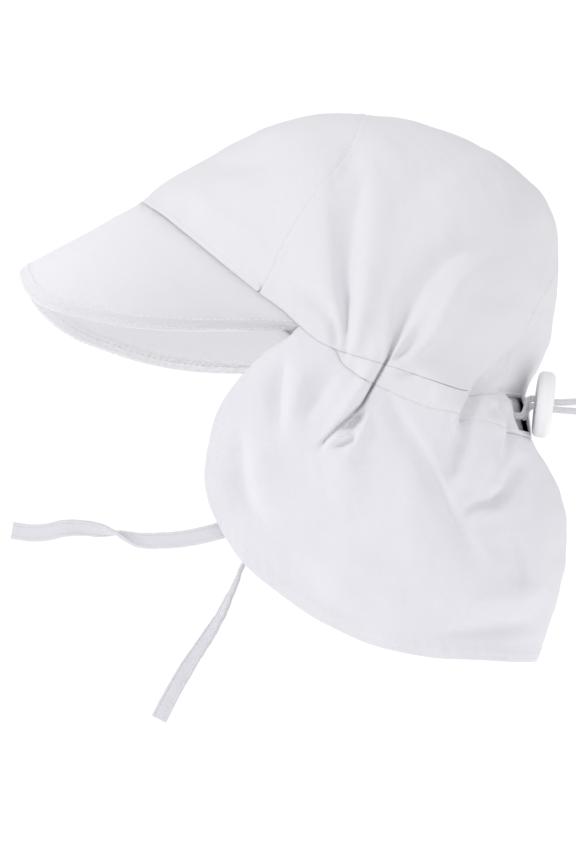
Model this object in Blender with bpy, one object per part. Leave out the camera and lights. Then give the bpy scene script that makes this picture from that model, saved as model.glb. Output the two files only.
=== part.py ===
"""A child's sun hat of soft cotton: a three-panel crown, an arched peak, a neck flap that hangs from a
drawstring casing, two ties, and a round stopper on a flat drawcord. It keeps the form in which it was
photographed, as if it were worn. Metres, +Z up, the peak towards -Y and the wearer's left towards +X.
The origin is the middle of the head opening."""
import math
from collections import namedtuple

import bmesh
import bpy
import numpy as np
from mathutils import Vector

for item in list(bpy.data.objects):
    bpy.data.objects.remove(item, do_unlink=True)

# Crown and head opening
head_width = 0.142
head_length = 0.182
crown_height = 0.083
crown_fullness = 2.2
crown_wall = 0.0016
seam_gap = 0.0003

# Peak
peak_reach = 0.056
peak_drop = 0.040
peak_arch = 0.0035
peak_wall = 0.0024
peak_skew = 0.006

# Drawstring casing across the back
casing_height = 0.0150
casing_swell = 0.0027
casing_inset = 0.0016
casing_wall = 0.0009
casing_ripple = 0.0004
casing_gathers = 22
mouth_width = 0.016
mouth_puff = 0.0012
mouth_station = 0.925

# Neck flap
flap_depth = 0.138
flap_swell = 0.009
flap_wall = 0.0014
flap_hem_wave = 0.0005
flap_hem_waves = 7
flap_skew = 0.0046

# Ties
tie_length = 0.086
tie_width = 0.0066
tie_wall = 0.0011
tie_clearance = 0.0004

# Stopper and drawcord
stopper_diameter = 0.026
stopper_thickness = 0.0066
stopper_edge = 0.0022
stopper_turn = 6.0
stopper_tilt = 7.0
stopper_standoff = 0.0048
cord_clearance = 0.0007
cord_diameter = 0.0026
cord_loop_length = 0.024
cord_inside = 0.011

half_width = head_width / 2
half_length = head_length / 2

# Side outline of the crown, as shares of half the head length and of the crown height.
Outline = namedtuple("Outline", "along up")
crown_outline = (
    Outline(-1.000, 0.410), Outline(-0.930, 0.490), Outline(-0.848, 0.564), Outline(-0.745, 0.660),
    Outline(-0.642, 0.724), Outline(-0.521, 0.798), Outline(-0.380, 0.874), Outline(-0.245, 0.940),
    Outline(-0.078, 0.977), Outline(0.059, 0.977), Outline(0.187, 0.964), Outline(0.315, 0.944),
    Outline(0.432, 0.909), Outline(0.550, 0.863), Outline(0.651, 0.799), Outline(0.740, 0.745),
    Outline(0.820, 0.672), Outline(0.903, 0.574), Outline(0.950, 0.453), Outline(0.963, 0.336),
    Outline(0.967, 0.224), Outline(0.961, 0.115), Outline(0.944, 0.000), Outline(0.931, -0.110),
    Outline(0.881, -0.239), Outline(0.842, -0.311), Outline(0.817, -0.396), Outline(0.818, -0.500),
    Outline(0.845, -0.600), Outline(0.870, -0.700),
)

# Low edge of the crown, from the middle of the front round the wearer's left to the middle of the back.
Spot = namedtuple("Spot", "mark across along up")
low_edge = (
    Spot("front", 0.00, -0.859, 0.567), Spot("", 0.30, -0.830, 0.535), Spot("", 0.52, -0.785, 0.490),
    Spot("", 0.68, -0.725, 0.432), Spot("", 0.81, -0.640, 0.350), Spot("", 0.90, -0.520, 0.240),
    Spot("", 0.95, -0.400, 0.130), Spot("seam foot", 0.98, -0.265, 0.008), Spot("", 0.99, -0.170, -0.070),
    Spot("peak end", 0.99, -0.090, -0.150), Spot("", 0.98, -0.010, -0.220),
    Spot("casing end", 0.975, 0.045, -0.250), Spot("", 0.97, 0.120, -0.280), Spot("pinch", 0.93, 0.270, -0.325),
    Spot("", 0.86, 0.410, -0.370), Spot("", 0.75, 0.550, -0.410), Spot("", 0.59, 0.690, -0.430),
    Spot("back seam", 0.46, 0.770, -0.425), Spot("", 0.21, 0.820, -0.405), Spot("back", 0.00, 0.830, -0.400),
)

# Seam over the crown, from its foot on the wearer's left up to the middle of the top.
crown_seam = (
    Spot("foot", 0.98, -0.265, 0.008), Spot("", 0.99, -0.220, 0.090), Spot("", 0.97, -0.160, 0.230),
    Spot("", 0.92, -0.040, 0.450), Spot("", 0.84, 0.040, 0.590), Spot("", 0.69, 0.110, 0.760),
    Spot("", 0.45, 0.140, 0.920), Spot("", 0.22, 0.145, 0.980), Spot("top", 0.00, 0.150, 0.985),
)

# Seam down the back, from the top to the casing; it is drawn over to the wearer's left low down.
back_seam = (
    Spot("top", 0.00, 0.150, 0.985), Spot("", 0.00, 0.440, 0.925), Spot("", 0.00, 0.745, 0.750),
    Spot("", 0.01, 0.955, 0.455), Spot("", 0.09, 0.970, 0.210), Spot("", 0.29, 0.930, 0.110),
    Spot("", 0.43, 0.870, -0.020), Spot("", 0.47, 0.830, -0.170), Spot("", 0.47, 0.800, -0.300),
    Spot("foot", 0.46, 0.770, -0.425),
)

# Height of the casing from its end at the side to the middle of the back, as a share of casing_height.
CasingRow = namedtuple("CasingRow", "way height")
casing_rows = (
    CasingRow(0.00, 0.16), CasingRow(0.05, 0.30), CasingRow(0.12, 0.48), CasingRow(0.28, 0.66),
    CasingRow(0.50, 0.78), CasingRow(0.72, 0.92), CasingRow(1.00, 1.00),
)

# Outer edge of the peak: shares of half the head width, of peak_reach ahead of the low edge's front,
# and of peak_drop below it.
PeakRow = namedtuple("PeakRow", "across ahead drop")
peak_edge = (
    PeakRow(0.000, 0.930, 0.640), PeakRow(0.170, 0.895, 0.770), PeakRow(0.340, 0.805, 0.950),
    PeakRow(0.590, 0.585, 1.170), PeakRow(0.760, 0.310, 1.310), PeakRow(0.845, 0.100, 1.400),
    PeakRow(0.925, -0.210, 1.480), PeakRow(0.965, -0.460, 1.510), PeakRow(0.990, -0.780, 1.520),
    PeakRow(0.995, -1.050, 1.520), PeakRow(0.992, -1.180, 1.510),
)

# Free edge of the flap on the wearer's left, from the end of the peak to the middle of the back.
FlapRow = namedtuple("FlapRow", "across along depth")
flap_edge = (
    FlapRow(0.990, -0.130, 0.118), FlapRow(0.985, -0.255, 0.170), FlapRow(0.960, -0.380, 0.260),
    FlapRow(0.925, -0.470, 0.365), FlapRow(0.880, -0.500, 0.480), FlapRow(0.830, -0.475, 0.600),
    FlapRow(0.780, -0.360, 0.725), FlapRow(0.735, -0.180, 0.832), FlapRow(0.695, 0.030, 0.918),
    FlapRow(0.640, 0.200, 0.966), FlapRow(0.560, 0.380, 0.992), FlapRow(0.440, 0.580, 1.000),
    FlapRow(0.280, 0.760, 1.003), FlapRow(0.130, 0.835, 1.000), FlapRow(0.000, 0.850, 0.995),
)

# How far the flap bellies out between its top and its free edge, as a share of flap_swell.
SwellRow = namedtuple("SwellRow", "way swell")
flap_swells = (
    SwellRow(0.00, 1.50), SwellRow(0.20, 1.20), SwellRow(0.40, 0.80), SwellRow(0.60, 0.55),
    SwellRow(0.80, 0.40), SwellRow(1.00, 0.10),
)

# Folds, seen from the wearer's left: ends as shares of half the head length and of the crown height,
# width and depth as shares of the crown height; a depth below nought is a ridge.
Fold = namedtuple("Fold", "from_along from_up to_along to_up width depth")
folds = (
    Fold(0.10, -0.17, 0.11, 0.25, 0.060, 0.032), Fold(0.11, 0.25, 0.16, 0.54, 0.070, 0.028),
    Fold(0.12, -0.22, 0.17, 0.01, 0.045, -0.022), Fold(0.17, 0.01, 0.21, 0.30, 0.055, -0.026),
    Fold(0.21, 0.30, 0.24, 0.56, 0.060, -0.020), Fold(-0.09, 0.11, 0.09, -0.16, 0.045, -0.018),
    Fold(-0.04, -0.03, 0.07, -0.20, 0.040, 0.026), Fold(0.36, -0.08, 0.30, -0.24, 0.055, 0.052),
    Fold(0.30, -0.24, 0.27, -0.34, 0.040, 0.062), Fold(0.27, -0.34, 0.21, -0.46, 0.038, 0.056),
    Fold(0.21, -0.46, 0.15, -0.55, 0.038, 0.056), Fold(0.15, -0.55, 0.06, -0.63, 0.042, 0.060),
    Fold(0.06, -0.63, -0.02, -0.72, 0.042, 0.032), Fold(0.33, -0.13, 0.40, 0.00, 0.060, 0.032),
    Fold(0.40, 0.00, 0.50, 0.14, 0.065, 0.028), Fold(0.50, 0.14, 0.77, 0.19, 0.060, 0.024),
    Fold(0.45, -0.14, 0.52, 0.00, 0.055, -0.020), Fold(0.52, 0.00, 0.64, 0.10, 0.055, -0.016),
    Fold(0.83, -0.18, 0.73, -0.31, 0.040, 0.024), Fold(0.73, -0.31, 0.64, -0.43, 0.045, 0.028),
    Fold(0.64, -0.43, 0.56, -0.60, 0.042, 0.036), Fold(-0.43, 0.75, -0.20, 0.72, 0.080, 0.018),
    Fold(-0.20, -0.37, -0.20, -0.64, 0.060, 0.026), Fold(-0.07, -0.44, 0.04, -0.54, 0.085, 0.028),
    Fold(0.31, -0.58, 0.45, -0.82, 0.060, 0.020), Fold(0.45, -0.82, 0.57, -1.10, 0.060, 0.018),
    Fold(0.57, -1.10, 0.68, -1.26, 0.070, 0.020), Fold(0.82, -0.80, 0.75, -0.92, 0.055, 0.030),
    Fold(0.75, -0.92, 0.58, -0.99, 0.055, 0.030), Fold(0.67, -1.08, 0.81, -1.27, 0.090, 0.022),
    Fold(0.51, -1.51, 0.89, -1.49, 0.070, 0.026), Fold(0.78, -0.62, 0.71, -0.78, 0.045, 0.024),
    Fold(-0.30, -0.66, -0.28, -0.95, 0.070, -0.018), Fold(-0.23, -1.09, 0.07, -1.10, 0.080, 0.012),
    Fold(0.07, -1.10, 0.32, -1.18, 0.080, 0.012), Fold(0.36, -0.72, 0.42, -1.00, 0.080, -0.014),
)

# Middle lines of the ties: shares of half the head width, half the head length and flap_depth at the
# root, then of tie_length; roll turns the tape about its own line, in degrees.
TieRow = namedtuple("TieRow", "ahead left rise roll")
tie_left_rows = (
    TieRow(0.000, 0.000, 0.000, 6), TieRow(0.070, 0.004, -0.020, 8), TieRow(0.160, 0.006, -0.040, 10),
    TieRow(0.290, 0.000, -0.052, 14), TieRow(0.400, -0.008, -0.048, 30), TieRow(0.490, -0.012, -0.018, 82),
    TieRow(0.570, -0.008, -0.004, 126), TieRow(0.670, 0.002, 0.008, 156), TieRow(0.750, 0.010, 0.004, 166),
    TieRow(0.810, 0.006, -0.010, 176), TieRow(0.880, 0.000, -0.014, 182), TieRow(0.975, -0.004, -0.002, 184),
)
tie_right_rows = (
    TieRow(0.000, 0.000, 0.000, 4), TieRow(0.028, 0.006, -0.026, 30), TieRow(0.062, 0.014, -0.062, 74),
    TieRow(0.112, 0.018, -0.170, 72),
    TieRow(0.172, 0.024, -0.300, 56), TieRow(0.250, 0.034, -0.430, 34), TieRow(0.335, 0.044, -0.560, 16),
    TieRow(0.410, 0.052, -0.690, 6), TieRow(0.475, 0.058, -0.815, 0),
)
tie_root_across = 0.800
tie_root_along = -0.415
tie_root_depth = 0.640


def hermite(knots, values, at):
    """A smooth curve through the values at their knots, read at the given places."""
    knots = np.asarray(knots, float)
    values = np.asarray(values, float)
    at = np.clip(np.asarray(at, float), knots[0], knots[-1])
    slopes = np.gradient(values, knots, axis=0)
    i = np.clip(np.searchsorted(knots, at) - 1, 0, len(knots) - 2)
    step = knots[i + 1] - knots[i]
    u = (at - knots[i]) / step
    if values.ndim > 1:
        step = step[..., None]
        u = u[..., None]
    start = (2 * u ** 3 - 3 * u ** 2 + 1) * values[i] + (u ** 3 - 2 * u ** 2 + u) * step * slopes[i]
    end = (3 * u ** 2 - 2 * u ** 3) * values[i + 1] + (u ** 3 - u ** 2) * step * slopes[i + 1]
    return start + end


def lengths(points):
    """Distance run along a row of points."""
    steps = np.linalg.norm(np.diff(points, axis=0), axis=1)
    return np.concatenate([[0.0], np.cumsum(steps)])


def unit(vectors):
    """Vectors of length one."""
    vectors = np.asarray(vectors, float)
    size = np.linalg.norm(vectors, axis=-1, keepdims=True)
    return vectors / np.maximum(size, 1e-12)


def outline_reach(angle):
    """Distance from the origin to the crown's side outline at an angle up from the back."""
    rows = np.array([(row.along * half_length, row.up * crown_height) for row in crown_outline])
    angles = np.arctan2(rows[:, 1], rows[:, 0])
    order = np.argsort(angles)
    return hermite(angles[order], np.hypot(rows[:, 0], rows[:, 1])[order], angle)


def fill(points):
    """One on the crown's form, less inside it, more outside it."""
    radius = np.hypot(points[..., 1], points[..., 2])
    reach = outline_reach(np.arctan2(points[..., 2], points[..., 1]))
    wide = (np.abs(points[..., 0]) / half_width) ** crown_fullness
    return (wide + (radius / reach) ** crown_fullness) ** (1 / crown_fullness)


def on_crown(directions):
    """The point of the crown's form in each direction from the origin."""
    directions = np.asarray(directions, float)
    return directions / fill(directions)[..., None]


def crown_normal(points):
    """Outward normal of the crown's form."""
    step = 1e-5
    slopes = [fill(points + step * axis) - fill(points - step * axis) for axis in np.eye(3)]
    return unit(np.stack(slopes, axis=-1))


def spot_points(rows):
    """Places of a table of spots, in metres."""
    return np.array([(r.across * half_width, r.along * half_length, r.up * crown_height) for r in rows])


class Loop:
    """The crown's low edge as a closed curve: 0 at the front, up to 1 at the back by the wearer's left,
    and on to 2 at the front again."""

    def __init__(self, rows):
        near = on_crown(spot_points(rows))
        far = near[-2:0:-1] * (-1, 1, 1)
        ring = np.concatenate([near, far])
        run = lengths(np.concatenate([ring, ring[:1]]))
        whole = run[-1]
        self.per_metre = 2 / whole
        self.marks = {row.mark: 2 * run[i] / whole for i, row in enumerate(rows) if row.mark}
        knots = 2 * run[:-1] / whole
        self.knots = np.concatenate([knots[-3:] - 2, knots, knots[:4] + 2])
        self.values = np.concatenate([ring[-3:], ring, ring[:4]])

    def at(self, station):
        """Points of the edge on the crown's form."""
        return on_crown(hermite(self.knots, self.values, np.mod(station, 2.0)))


low = Loop(low_edge)


def rim_stations(count=54, crowding=1.6, reach=0.05):
    """Stations of the low edge behind the front panel, closer together at the pinches, with its marks."""
    foot = low.marks["seam foot"]
    fine = np.linspace(foot, 2 - foot, 4001)
    near = sum(np.exp(-((fine - pinch) / reach) ** 2) for pinch in (low.marks["pinch"], 2 - low.marks["pinch"]))
    run = np.cumsum(1 + crowding * near)
    run = (run - run[0]) / (run[-1] - run[0])
    station = np.interp(np.linspace(0, 1, count), run, fine)
    for mark in ("peak end", "casing end"):
        for place in (low.marks[mark], 2 - low.marks[mark]):
            station[np.argmin(np.abs(station - place))] = place
    station[np.argmin(np.abs(station - low.marks["back seam"]))] = low.marks["back seam"]
    return station


rim = rim_stations()


def rim_between(first, last):
    """The stations from one mark to another."""
    return rim[(rim >= first - 1e-6) & (rim <= last + 1e-6)]


def mirrored(rows):
    """A table's points from the far end over the middle to the near end, with a share of its length."""
    near = np.asarray(rows, float)
    full = np.concatenate([near[::-1] * (-1, 1, 1), near[1:]])
    run = lengths(full)
    return 2 * run / run[-1] - 1, full


def seam_over(share):
    """The seam over the crown: -1 at its right foot, 0 at the top, 1 at its left foot."""
    knots, points = mirrored(spot_points(crown_seam)[::-1])
    return on_crown(hermite(knots, points, share))


def seam_back(share):
    """The back seam: 0 at the top, 1 at the casing."""
    points = spot_points(back_seam)
    run = lengths(points)
    return on_crown(hermite(run / run[-1], points, share))


def low_frame(station):
    """Edge point, outward normal and the way down, away from the crown, at a station of the low edge."""
    point = low.at(station)
    normal = crown_normal(point)
    along = low.at(np.asarray(station) + 0.002) - low.at(np.asarray(station) - 0.002)
    down = unit(np.cross(along, normal))
    return point, normal, down


def fold_depth(points):
    """Depth of the folds at points, the same on both sides of the hat and none on its middle plane."""
    place = points[..., 1:]
    valley = np.zeros(points.shape[:-1])
    ridge = np.zeros(points.shape[:-1])
    for fold in folds:
        start = np.array((fold.from_along * half_length, fold.from_up * crown_height))
        end = np.array((fold.to_along * half_length, fold.to_up * crown_height))
        run = end - start
        share = np.clip(((place - start) @ run) / (run @ run), 0, 1)
        off = np.linalg.norm(place - start - share[..., None] * run, axis=-1)
        depth = fold.depth * crown_height * np.exp(-(off / (fold.width * crown_height)) ** 2)
        valley = np.maximum(valley, depth)
        ridge = np.minimum(ridge, depth)
    side = np.clip(np.abs(points[..., 0]) / (0.45 * half_width), 0, 1)
    return (valley + ridge) * side * side * (3 - 2 * side)


def grid_normal(grid):
    """Outward normals of a grid of points, columns running towards the wearer's left and rows down."""
    across = np.gradient(grid, axis=1)
    down = np.gradient(grid, axis=0)
    return unit(np.cross(down, across))


def drawn_in(grid, gap):
    """The grid with its two side edges drawn in by the gap."""
    moved = grid.copy()
    moved[:, 0] += gap * unit(grid[:, 1] - grid[:, 0])
    moved[:, -1] += gap * unit(grid[:, -2] - grid[:, -1])
    return moved


def new_object(name, points, faces, colour, roughness):
    """A mesh object with its own material, welded, with its faces turned outward."""
    mesh = bpy.data.meshes.new(name)
    mesh.from_pydata([tuple(map(float, p)) for p in points], [], faces)
    turn_outward(mesh)
    return finish_object(name, mesh, colour, roughness)


def turn_outward(mesh):
    """Weld a closed mesh and turn its faces outward."""
    shape = bmesh.new()
    shape.from_mesh(mesh)
    bmesh.ops.remove_doubles(shape, verts=shape.verts, dist=2e-6)
    bmesh.ops.dissolve_degenerate(shape, edges=shape.edges, dist=1e-6)
    bmesh.ops.recalc_face_normals(shape, faces=shape.faces)
    shape.to_mesh(mesh)
    shape.free()


def finish_object(name, data, colour, roughness):
    """The object of some data, with its own material, in the scene."""
    paint = bpy.data.materials.new(name)
    paint.use_nodes = True
    shader = paint.node_tree.nodes["Principled BSDF"]
    shader.inputs["Base Color"].default_value = (*colour, 1.0)
    shader.inputs["Roughness"].default_value = roughness
    data.materials.append(paint)
    item = bpy.data.objects.new(name, data)
    bpy.context.scene.collection.objects.link(item)
    return item


def sheet(name, outer, inner, colour, roughness=0.9):
    """A closed sheet between two grids of the same size."""
    rows, cols = outer.shape[:2]
    count = rows * cols
    points = np.concatenate([outer.reshape(-1, 3), inner.reshape(-1, 3)])
    index = np.arange(count).reshape(rows, cols)
    faces = []
    for i in range(rows - 1):
        for j in range(cols - 1):
            quad = [index[i, j], index[i, j + 1], index[i + 1, j + 1], index[i + 1, j]]
            faces.append([int(v) for v in quad])
            faces.append([int(v) + count for v in reversed(quad)])
    rim = list(index[0, :-1]) + list(index[:-1, -1]) + list(index[-1, :0:-1]) + list(index[:0:-1, 0])
    for a, b in zip(rim, rim[1:] + rim[:1]):
        faces.append([int(a), int(a) + count, int(b) + count, int(b)])
    return new_object(name, points, faces, colour, roughness)


def crown_sheet(name, grid, colour):
    """A panel of the crown: the grid on the form, pushed in by the folds, with its wall."""
    normal = crown_normal(grid)
    outer = grid - normal * fold_depth(grid)[..., None]
    return sheet(name, outer, outer - normal * crown_wall, colour)


def make_crown_front():
    """The front panel, between the peak seam and the seam over the crown."""
    side = np.linspace(-0.975, 0.975, 35)
    seam = seam_over(side)
    edge = low.at(side * low.marks["seam foot"])
    share = np.linspace(0, 1, 12)[:, None, None]
    grid = on_crown(seam * (1 - share) + edge * share)
    grid[0] += seam_gap / 2 * unit(grid[1] - grid[0])
    return crown_sheet("crown_front", on_crown(grid), (0.80, 0.79, 0.82))


def side_grid(edge_stations, seam_side, rows=14):
    """A back panel's grid, from the top, where its columns meet, down to the low edge."""
    share = np.linspace(0, 1, rows)
    front = seam_over(seam_side * share)
    back = seam_back(share)
    edge = low.at(edge_stations)
    top = front[0]
    first, last = edge_stations[0], edge_stations[-1]
    s = ((edge_stations - first) / (last - first))[None, :, None]
    t = share[:, None, None]
    ruled = front[:, None] * (1 - s) + back[:, None] * s
    lofted = top * (1 - t) + edge[None] * t
    corners = (1 - t) * top + t * ((1 - s) * front[-1] + s * back[-1])
    return on_crown(ruled + lofted - corners)


def make_crown_side(name, sign, stations, colour):
    """A back panel, from the crown seam round to the back seam, its tip drawn back from the top."""
    grid = side_grid(stations, sign)
    tip = grid[0, 0] + 2 * seam_gap * unit(grid[1, len(stations) // 2] - grid[0, 0])
    grid = drawn_in(grid, seam_gap / 2)
    grid[0] = tip
    if sign < 0:
        grid = grid[:, ::-1]
    return crown_sheet(name, on_crown(grid), colour)


def peak_edge_points(side):
    """Outer edge of the peak: -1 at its right end, 0 at the tip, 1 at its left end."""
    front = low.at(0.0)
    rows = [(r.across * half_width, front[1] - r.ahead * peak_reach, front[2] - r.drop * peak_drop)
            for r in peak_edge]
    knots, points = mirrored(rows)
    edge = hermite(knots, points, side)
    skew = np.clip(-edge[..., 0] / half_width, 0, 1)
    edge[..., 1] -= peak_skew * skew * (2 - skew)
    return edge


def make_peak():
    """The peak: it starts square to the crown's low edge, then arches out to its own edge."""
    side = np.linspace(-1, 1, 37)
    station = side * (low.marks["peak end"] - 0.004)
    start, normal, down = low_frame(station)
    start = start + down * seam_gap - normal * fold_depth(start)[:, None]
    edge = peak_edge_points(side)
    share = np.linspace(0, 1, 7)[:, None, None]
    grid = start * (1 - share) + edge * share
    aside = np.abs(side)[None, :, None]
    bow = (4 * share * (1 - share)) * peak_arch * (0.2 + 2.6 * aside * (1 - aside))
    outward = grid_normal(grid)
    outward = outward * np.sign(np.sum(outward * normal, axis=-1, keepdims=True))
    grid = grid + outward * bow
    face = grid_normal(grid)
    face = face * np.sign(np.sum(face * normal, axis=-1, keepdims=True))
    end = np.clip((np.abs(side) - 0.8) / 0.2, 0, 1)[:, None]
    face = unit(face * (1 - end) + normal * end)
    face[0] = normal
    return sheet("peak", grid, grid - face * peak_wall, (0.79, 0.78, 0.81))


def casing_way(station):
    """0 at the casing's ends, 1 at the middle of the back."""
    end = low.marks["casing end"]
    return np.clip((1 - np.abs(np.asarray(station) - 1)) / (1 - end) - end / (1 - end), 0, 1)


def casing_size(station):
    """Height of the casing at a station of the low edge."""
    rows = casing_rows
    return casing_height * hermite([r.way for r in rows], [r.height for r in rows], casing_way(station))


def casing_frame(station):
    """Middle of the casing at a station, the way across it to its lower edge, and its outward normal."""
    point, normal, down = low_frame(station)
    upper = point + down * seam_gap - normal * crown_wall / 2
    lower = on_crown(point + down * (seam_gap + casing_size(station))) - normal * crown_wall / 2
    fall = lower - upper
    return (upper + lower) / 2, fall, normal


def near_mouth(station):
    """1 at the mouth of the casing, falling to 0 away from it."""
    return math.exp(-((station - mouth_station) * 0.5 / (mouth_width * low.per_metre)) ** 2)


def casing_section(station, grow, count):
    """One loop of the casing's wall, between the crown's low edge and the flap's top edge."""
    middle, fall, normal = casing_frame(station)
    half = np.linalg.norm(fall) / 2 - grow
    fall = unit(fall)
    face = unit(normal - fall * (normal @ fall))
    mouth = near_mouth(station)
    ripple = casing_ripple * math.cos(math.pi * casing_gathers * station) * (1 - mouth)
    size = min(1.0, casing_size(station) / (0.5 * casing_height))
    out = max(casing_swell * size + ripple - grow, 0.0003)
    back = max(casing_inset * size + mouth_puff * mouth - grow + ripple / 2, 0.0003)
    turn = np.linspace(0, 2 * math.pi, count, endpoint=False)[:, None]
    depth = np.where(np.sin(turn) > 0, out, back)
    ring = middle - fall * half * np.cos(turn)
    return ring + face * depth * np.sin(turn) - normal * fold_depth(ring)[:, None]


def make_casing():
    """The gathered tunnel, one tube inside another, with a mouth through its outer wall at the back."""
    end = low.marks["casing end"]
    count = 8
    station = rim_between(end, 2 - end)
    steps = len(station)
    outer = np.array([casing_section(s, 0.0, count) for s in station])
    inner = np.array([casing_section(s, casing_wall, count) for s in station[3:-3]])
    centres = outer.mean(axis=1)
    mouth = low.at(mouth_station)
    middle = int(np.argmin(np.linalg.norm(centres - mouth, axis=1)))
    pitch = np.linalg.norm(centres[middle + 1] - centres[middle])
    half = max(1, int(round(mouth_width / pitch / 2)))
    first, last = middle - half, middle + half
    points = np.concatenate([outer.reshape(-1, 3), inner.reshape(-1, 3)])
    base = steps * count
    holes = range(1, 3)
    faces = tube_faces(0, steps, count, first, last, holes)
    faces += [f[::-1] for f in tube_faces(base, steps - 6, count, first - 3, last - 3, holes)]
    faces += [list(range(count))[::-1], [base - count + k for k in range(count)]]
    faces += [[base + k for k in range(count)], [base + (steps - 7) * count + k for k in range(count)][::-1]]
    rim = [(j, holes[0]) for j in range(first, last)] + [(last, k) for k in range(holes[0], holes[-1] + 1)]
    rim += [(j, holes[-1] + 1) for j in range(last, first, -1)]
    rim += [(first, k) for k in range(holes[-1] + 1, holes[0], -1)]
    for (j, k), (m, n) in zip(rim, rim[1:] + rim[:1]):
        faces.append([j * count + k, m * count + n, base + (m - 3) * count + n, base + (j - 3) * count + k])
    return new_object("drawstring_casing", points, faces, (0.78, 0.77, 0.80), 0.9)


def tube_faces(base, steps, count, first, last, holes):
    """Quads round a tube of rings, less those of the mouth."""
    faces = []
    for j in range(steps - 1):
        for k in range(count):
            if first <= j < last and k in holes:
                continue
            n = (k + 1) % count
            faces.append([base + j * count + k, base + j * count + n,
                          base + (j + 1) * count + n, base + (j + 1) * count + k])
    return faces


def flap_edge_points(side):
    """Free edge of the flap: -1 at its right front end, 0 at the back, 1 at its left front end."""
    rows = [(r.across * half_width, r.along * half_length, -r.depth * flap_depth) for r in flap_edge]
    knots, points = mirrored(rows[::-1])
    edge = hermite(knots, points, side)
    far = np.clip(-edge[..., 0] / (0.4 * half_width), 0, 1) * np.clip(-edge[..., 2] / flap_depth, 0, 1)
    edge[..., 2] += flap_skew * far
    return edge


def flap_top(station):
    """Top edge of the flap, below the casing or the crown, with its normal."""
    point, normal, down = low_frame(station)
    covered = np.abs(station - 1) <= 1 - low.marks["casing end"] + 1e-6
    drop = seam_gap + np.where(covered, casing_size(station) + seam_gap, 0.0)
    return on_crown(point + down * drop[..., None]), normal


def flap_grid(rows):
    """Outer face of the flap, its rows running from the top edge down to the free edge."""
    end = low.marks["peak end"]
    station = rim_between(end, 2 - end)[::-1]
    top, normal = flap_top(station)
    side = (1 - station) / (1 - end)
    edge = flap_edge_points(side)
    share = np.linspace(0, 1, rows)
    t = share[:, None, None]
    grid = top * (1 - t) + edge * t
    swell = hermite([r.way for r in flap_swells], [r.swell for r in flap_swells], np.abs(side))
    belly = np.sin(math.pi * share ** 0.85)[:, None] * swell[None] * flap_swell
    outward = unit(grid * (1, 1, 0))
    grid = grid + outward * belly[..., None]
    wave = flap_hem_wave * np.cos(2 * math.pi * flap_hem_waves * side)[None] * (share ** 3)[:, None]
    return grid + outward * wave[..., None], normal


def make_flap():
    """The neck flap with its folds and wall."""
    grid, normal = flap_grid(12)
    face = grid_normal(grid)
    face = face * np.sign(np.sum(face * unit(grid * (1, 1, 0)), axis=-1, keepdims=True))
    end = np.clip((np.abs(np.linspace(-1, 1, grid.shape[1])) - 0.88) / 0.1, 0, 1)[:, None]
    face = unit(face * (1 - end) + normal * end)
    face[0] = normal
    outer = grid - face * fold_depth(grid)[..., None]
    return sheet("flap", outer, outer - face * flap_wall, (0.81, 0.80, 0.83))


def make_tie(name, rows, sign, forward):
    """A flat tie: its middle line from the root behind the flap's edge, its width turned by the roll."""
    root = np.array((sign * tie_root_across * half_width, tie_root_along * half_length,
                     -tie_root_depth * flap_depth))
    root[0] -= sign * (flap_wall + tie_wall + tie_clearance)
    line = np.array([(r.left, -r.ahead, r.rise) for r in rows]) * tie_length + root
    run = lengths(line)
    at = np.linspace(0, run[-1], 22)
    middle = hermite(run, line, at)
    roll = np.radians(hermite(run, [r.roll for r in rows], at))[:, None]
    tangent = unit(np.gradient(middle, axis=0))
    level = unit(np.cross(tangent, (0.0, 0.0, 1.0) if forward else (0.0, 1.0, 0.0)))
    rise = np.cross(level, tangent)
    wide = rise * np.cos(roll) + level * np.sin(roll)
    thick = np.cross(tangent, wide) * tie_wall / 2
    half = tie_width / 2
    line = np.stack([middle - wide * half, middle, middle + wide * half])
    return sheet(name, line + thick, line - thick, (0.79, 0.78, 0.81))


def stopper_frame():
    """Middle of the stopper, its axis, which the cord follows, and its rise."""
    mouth, normal, down = low_frame(np.array([mouth_station]))
    turn = math.radians(stopper_turn)
    axis = Vector((-math.sin(turn), math.cos(turn), 0.0))
    side = Vector((math.cos(turn), math.sin(turn), 0.0))
    rise = Vector((0.0, 0.0, 1.0))
    tilt = math.radians(stopper_tilt)
    axis, rise = axis * math.cos(tilt) - rise * math.sin(tilt), rise * math.cos(tilt) + axis * math.sin(tilt)
    place = Vector(mouth[0] + down[0] * casing_height * 0.22)
    out = casing_swell + stopper_standoff + stopper_thickness / 2
    return place + axis * out, axis, rise, side


def make_stopper():
    """The round stopper: a turned disc with a soft edge and a hole for each run of the cord."""
    middle, axis, rise, side = stopper_frame()
    radius, half, soft = stopper_diameter / 2, stopper_thickness / 2, stopper_edge
    profile = [(0.55 * radius, half), (radius - soft, half * 0.92), (radius - 0.3 * soft, half - 0.6 * soft)]
    profile += [(radius, half - 1.3 * soft)]
    profile = profile + [(r, -h) for r, h in reversed(profile)]
    sides = 24
    points = [middle + axis * half, middle - axis * half]
    for r, h in profile:
        for k in range(sides):
            turn = 2 * math.pi * k / sides
            points.append(middle + axis * h + (rise * math.cos(turn) + side * math.sin(turn)) * r)
    faces = []
    for i in range(len(profile) - 1):
        for k in range(sides):
            n = (k + 1) % sides
            faces.append([2 + i * sides + k, 2 + i * sides + n,
                          2 + (i + 1) * sides + n, 2 + (i + 1) * sides + k])
    last = 2 + (len(profile) - 1) * sides
    for k in range(sides):
        n = (k + 1) % sides
        faces.append([0, 2 + n, 2 + k])
        faces.append([1, last + k, last + n])
    item = new_object("cord_stopper", points, faces, (0.80, 0.79, 0.80), 0.55)
    slot(item, middle, axis, rise, side)
    return item


def cord_pitch():
    """Distance between the middles of the two runs of cord in the stopper."""
    return cord_diameter + seam_gap


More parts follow.
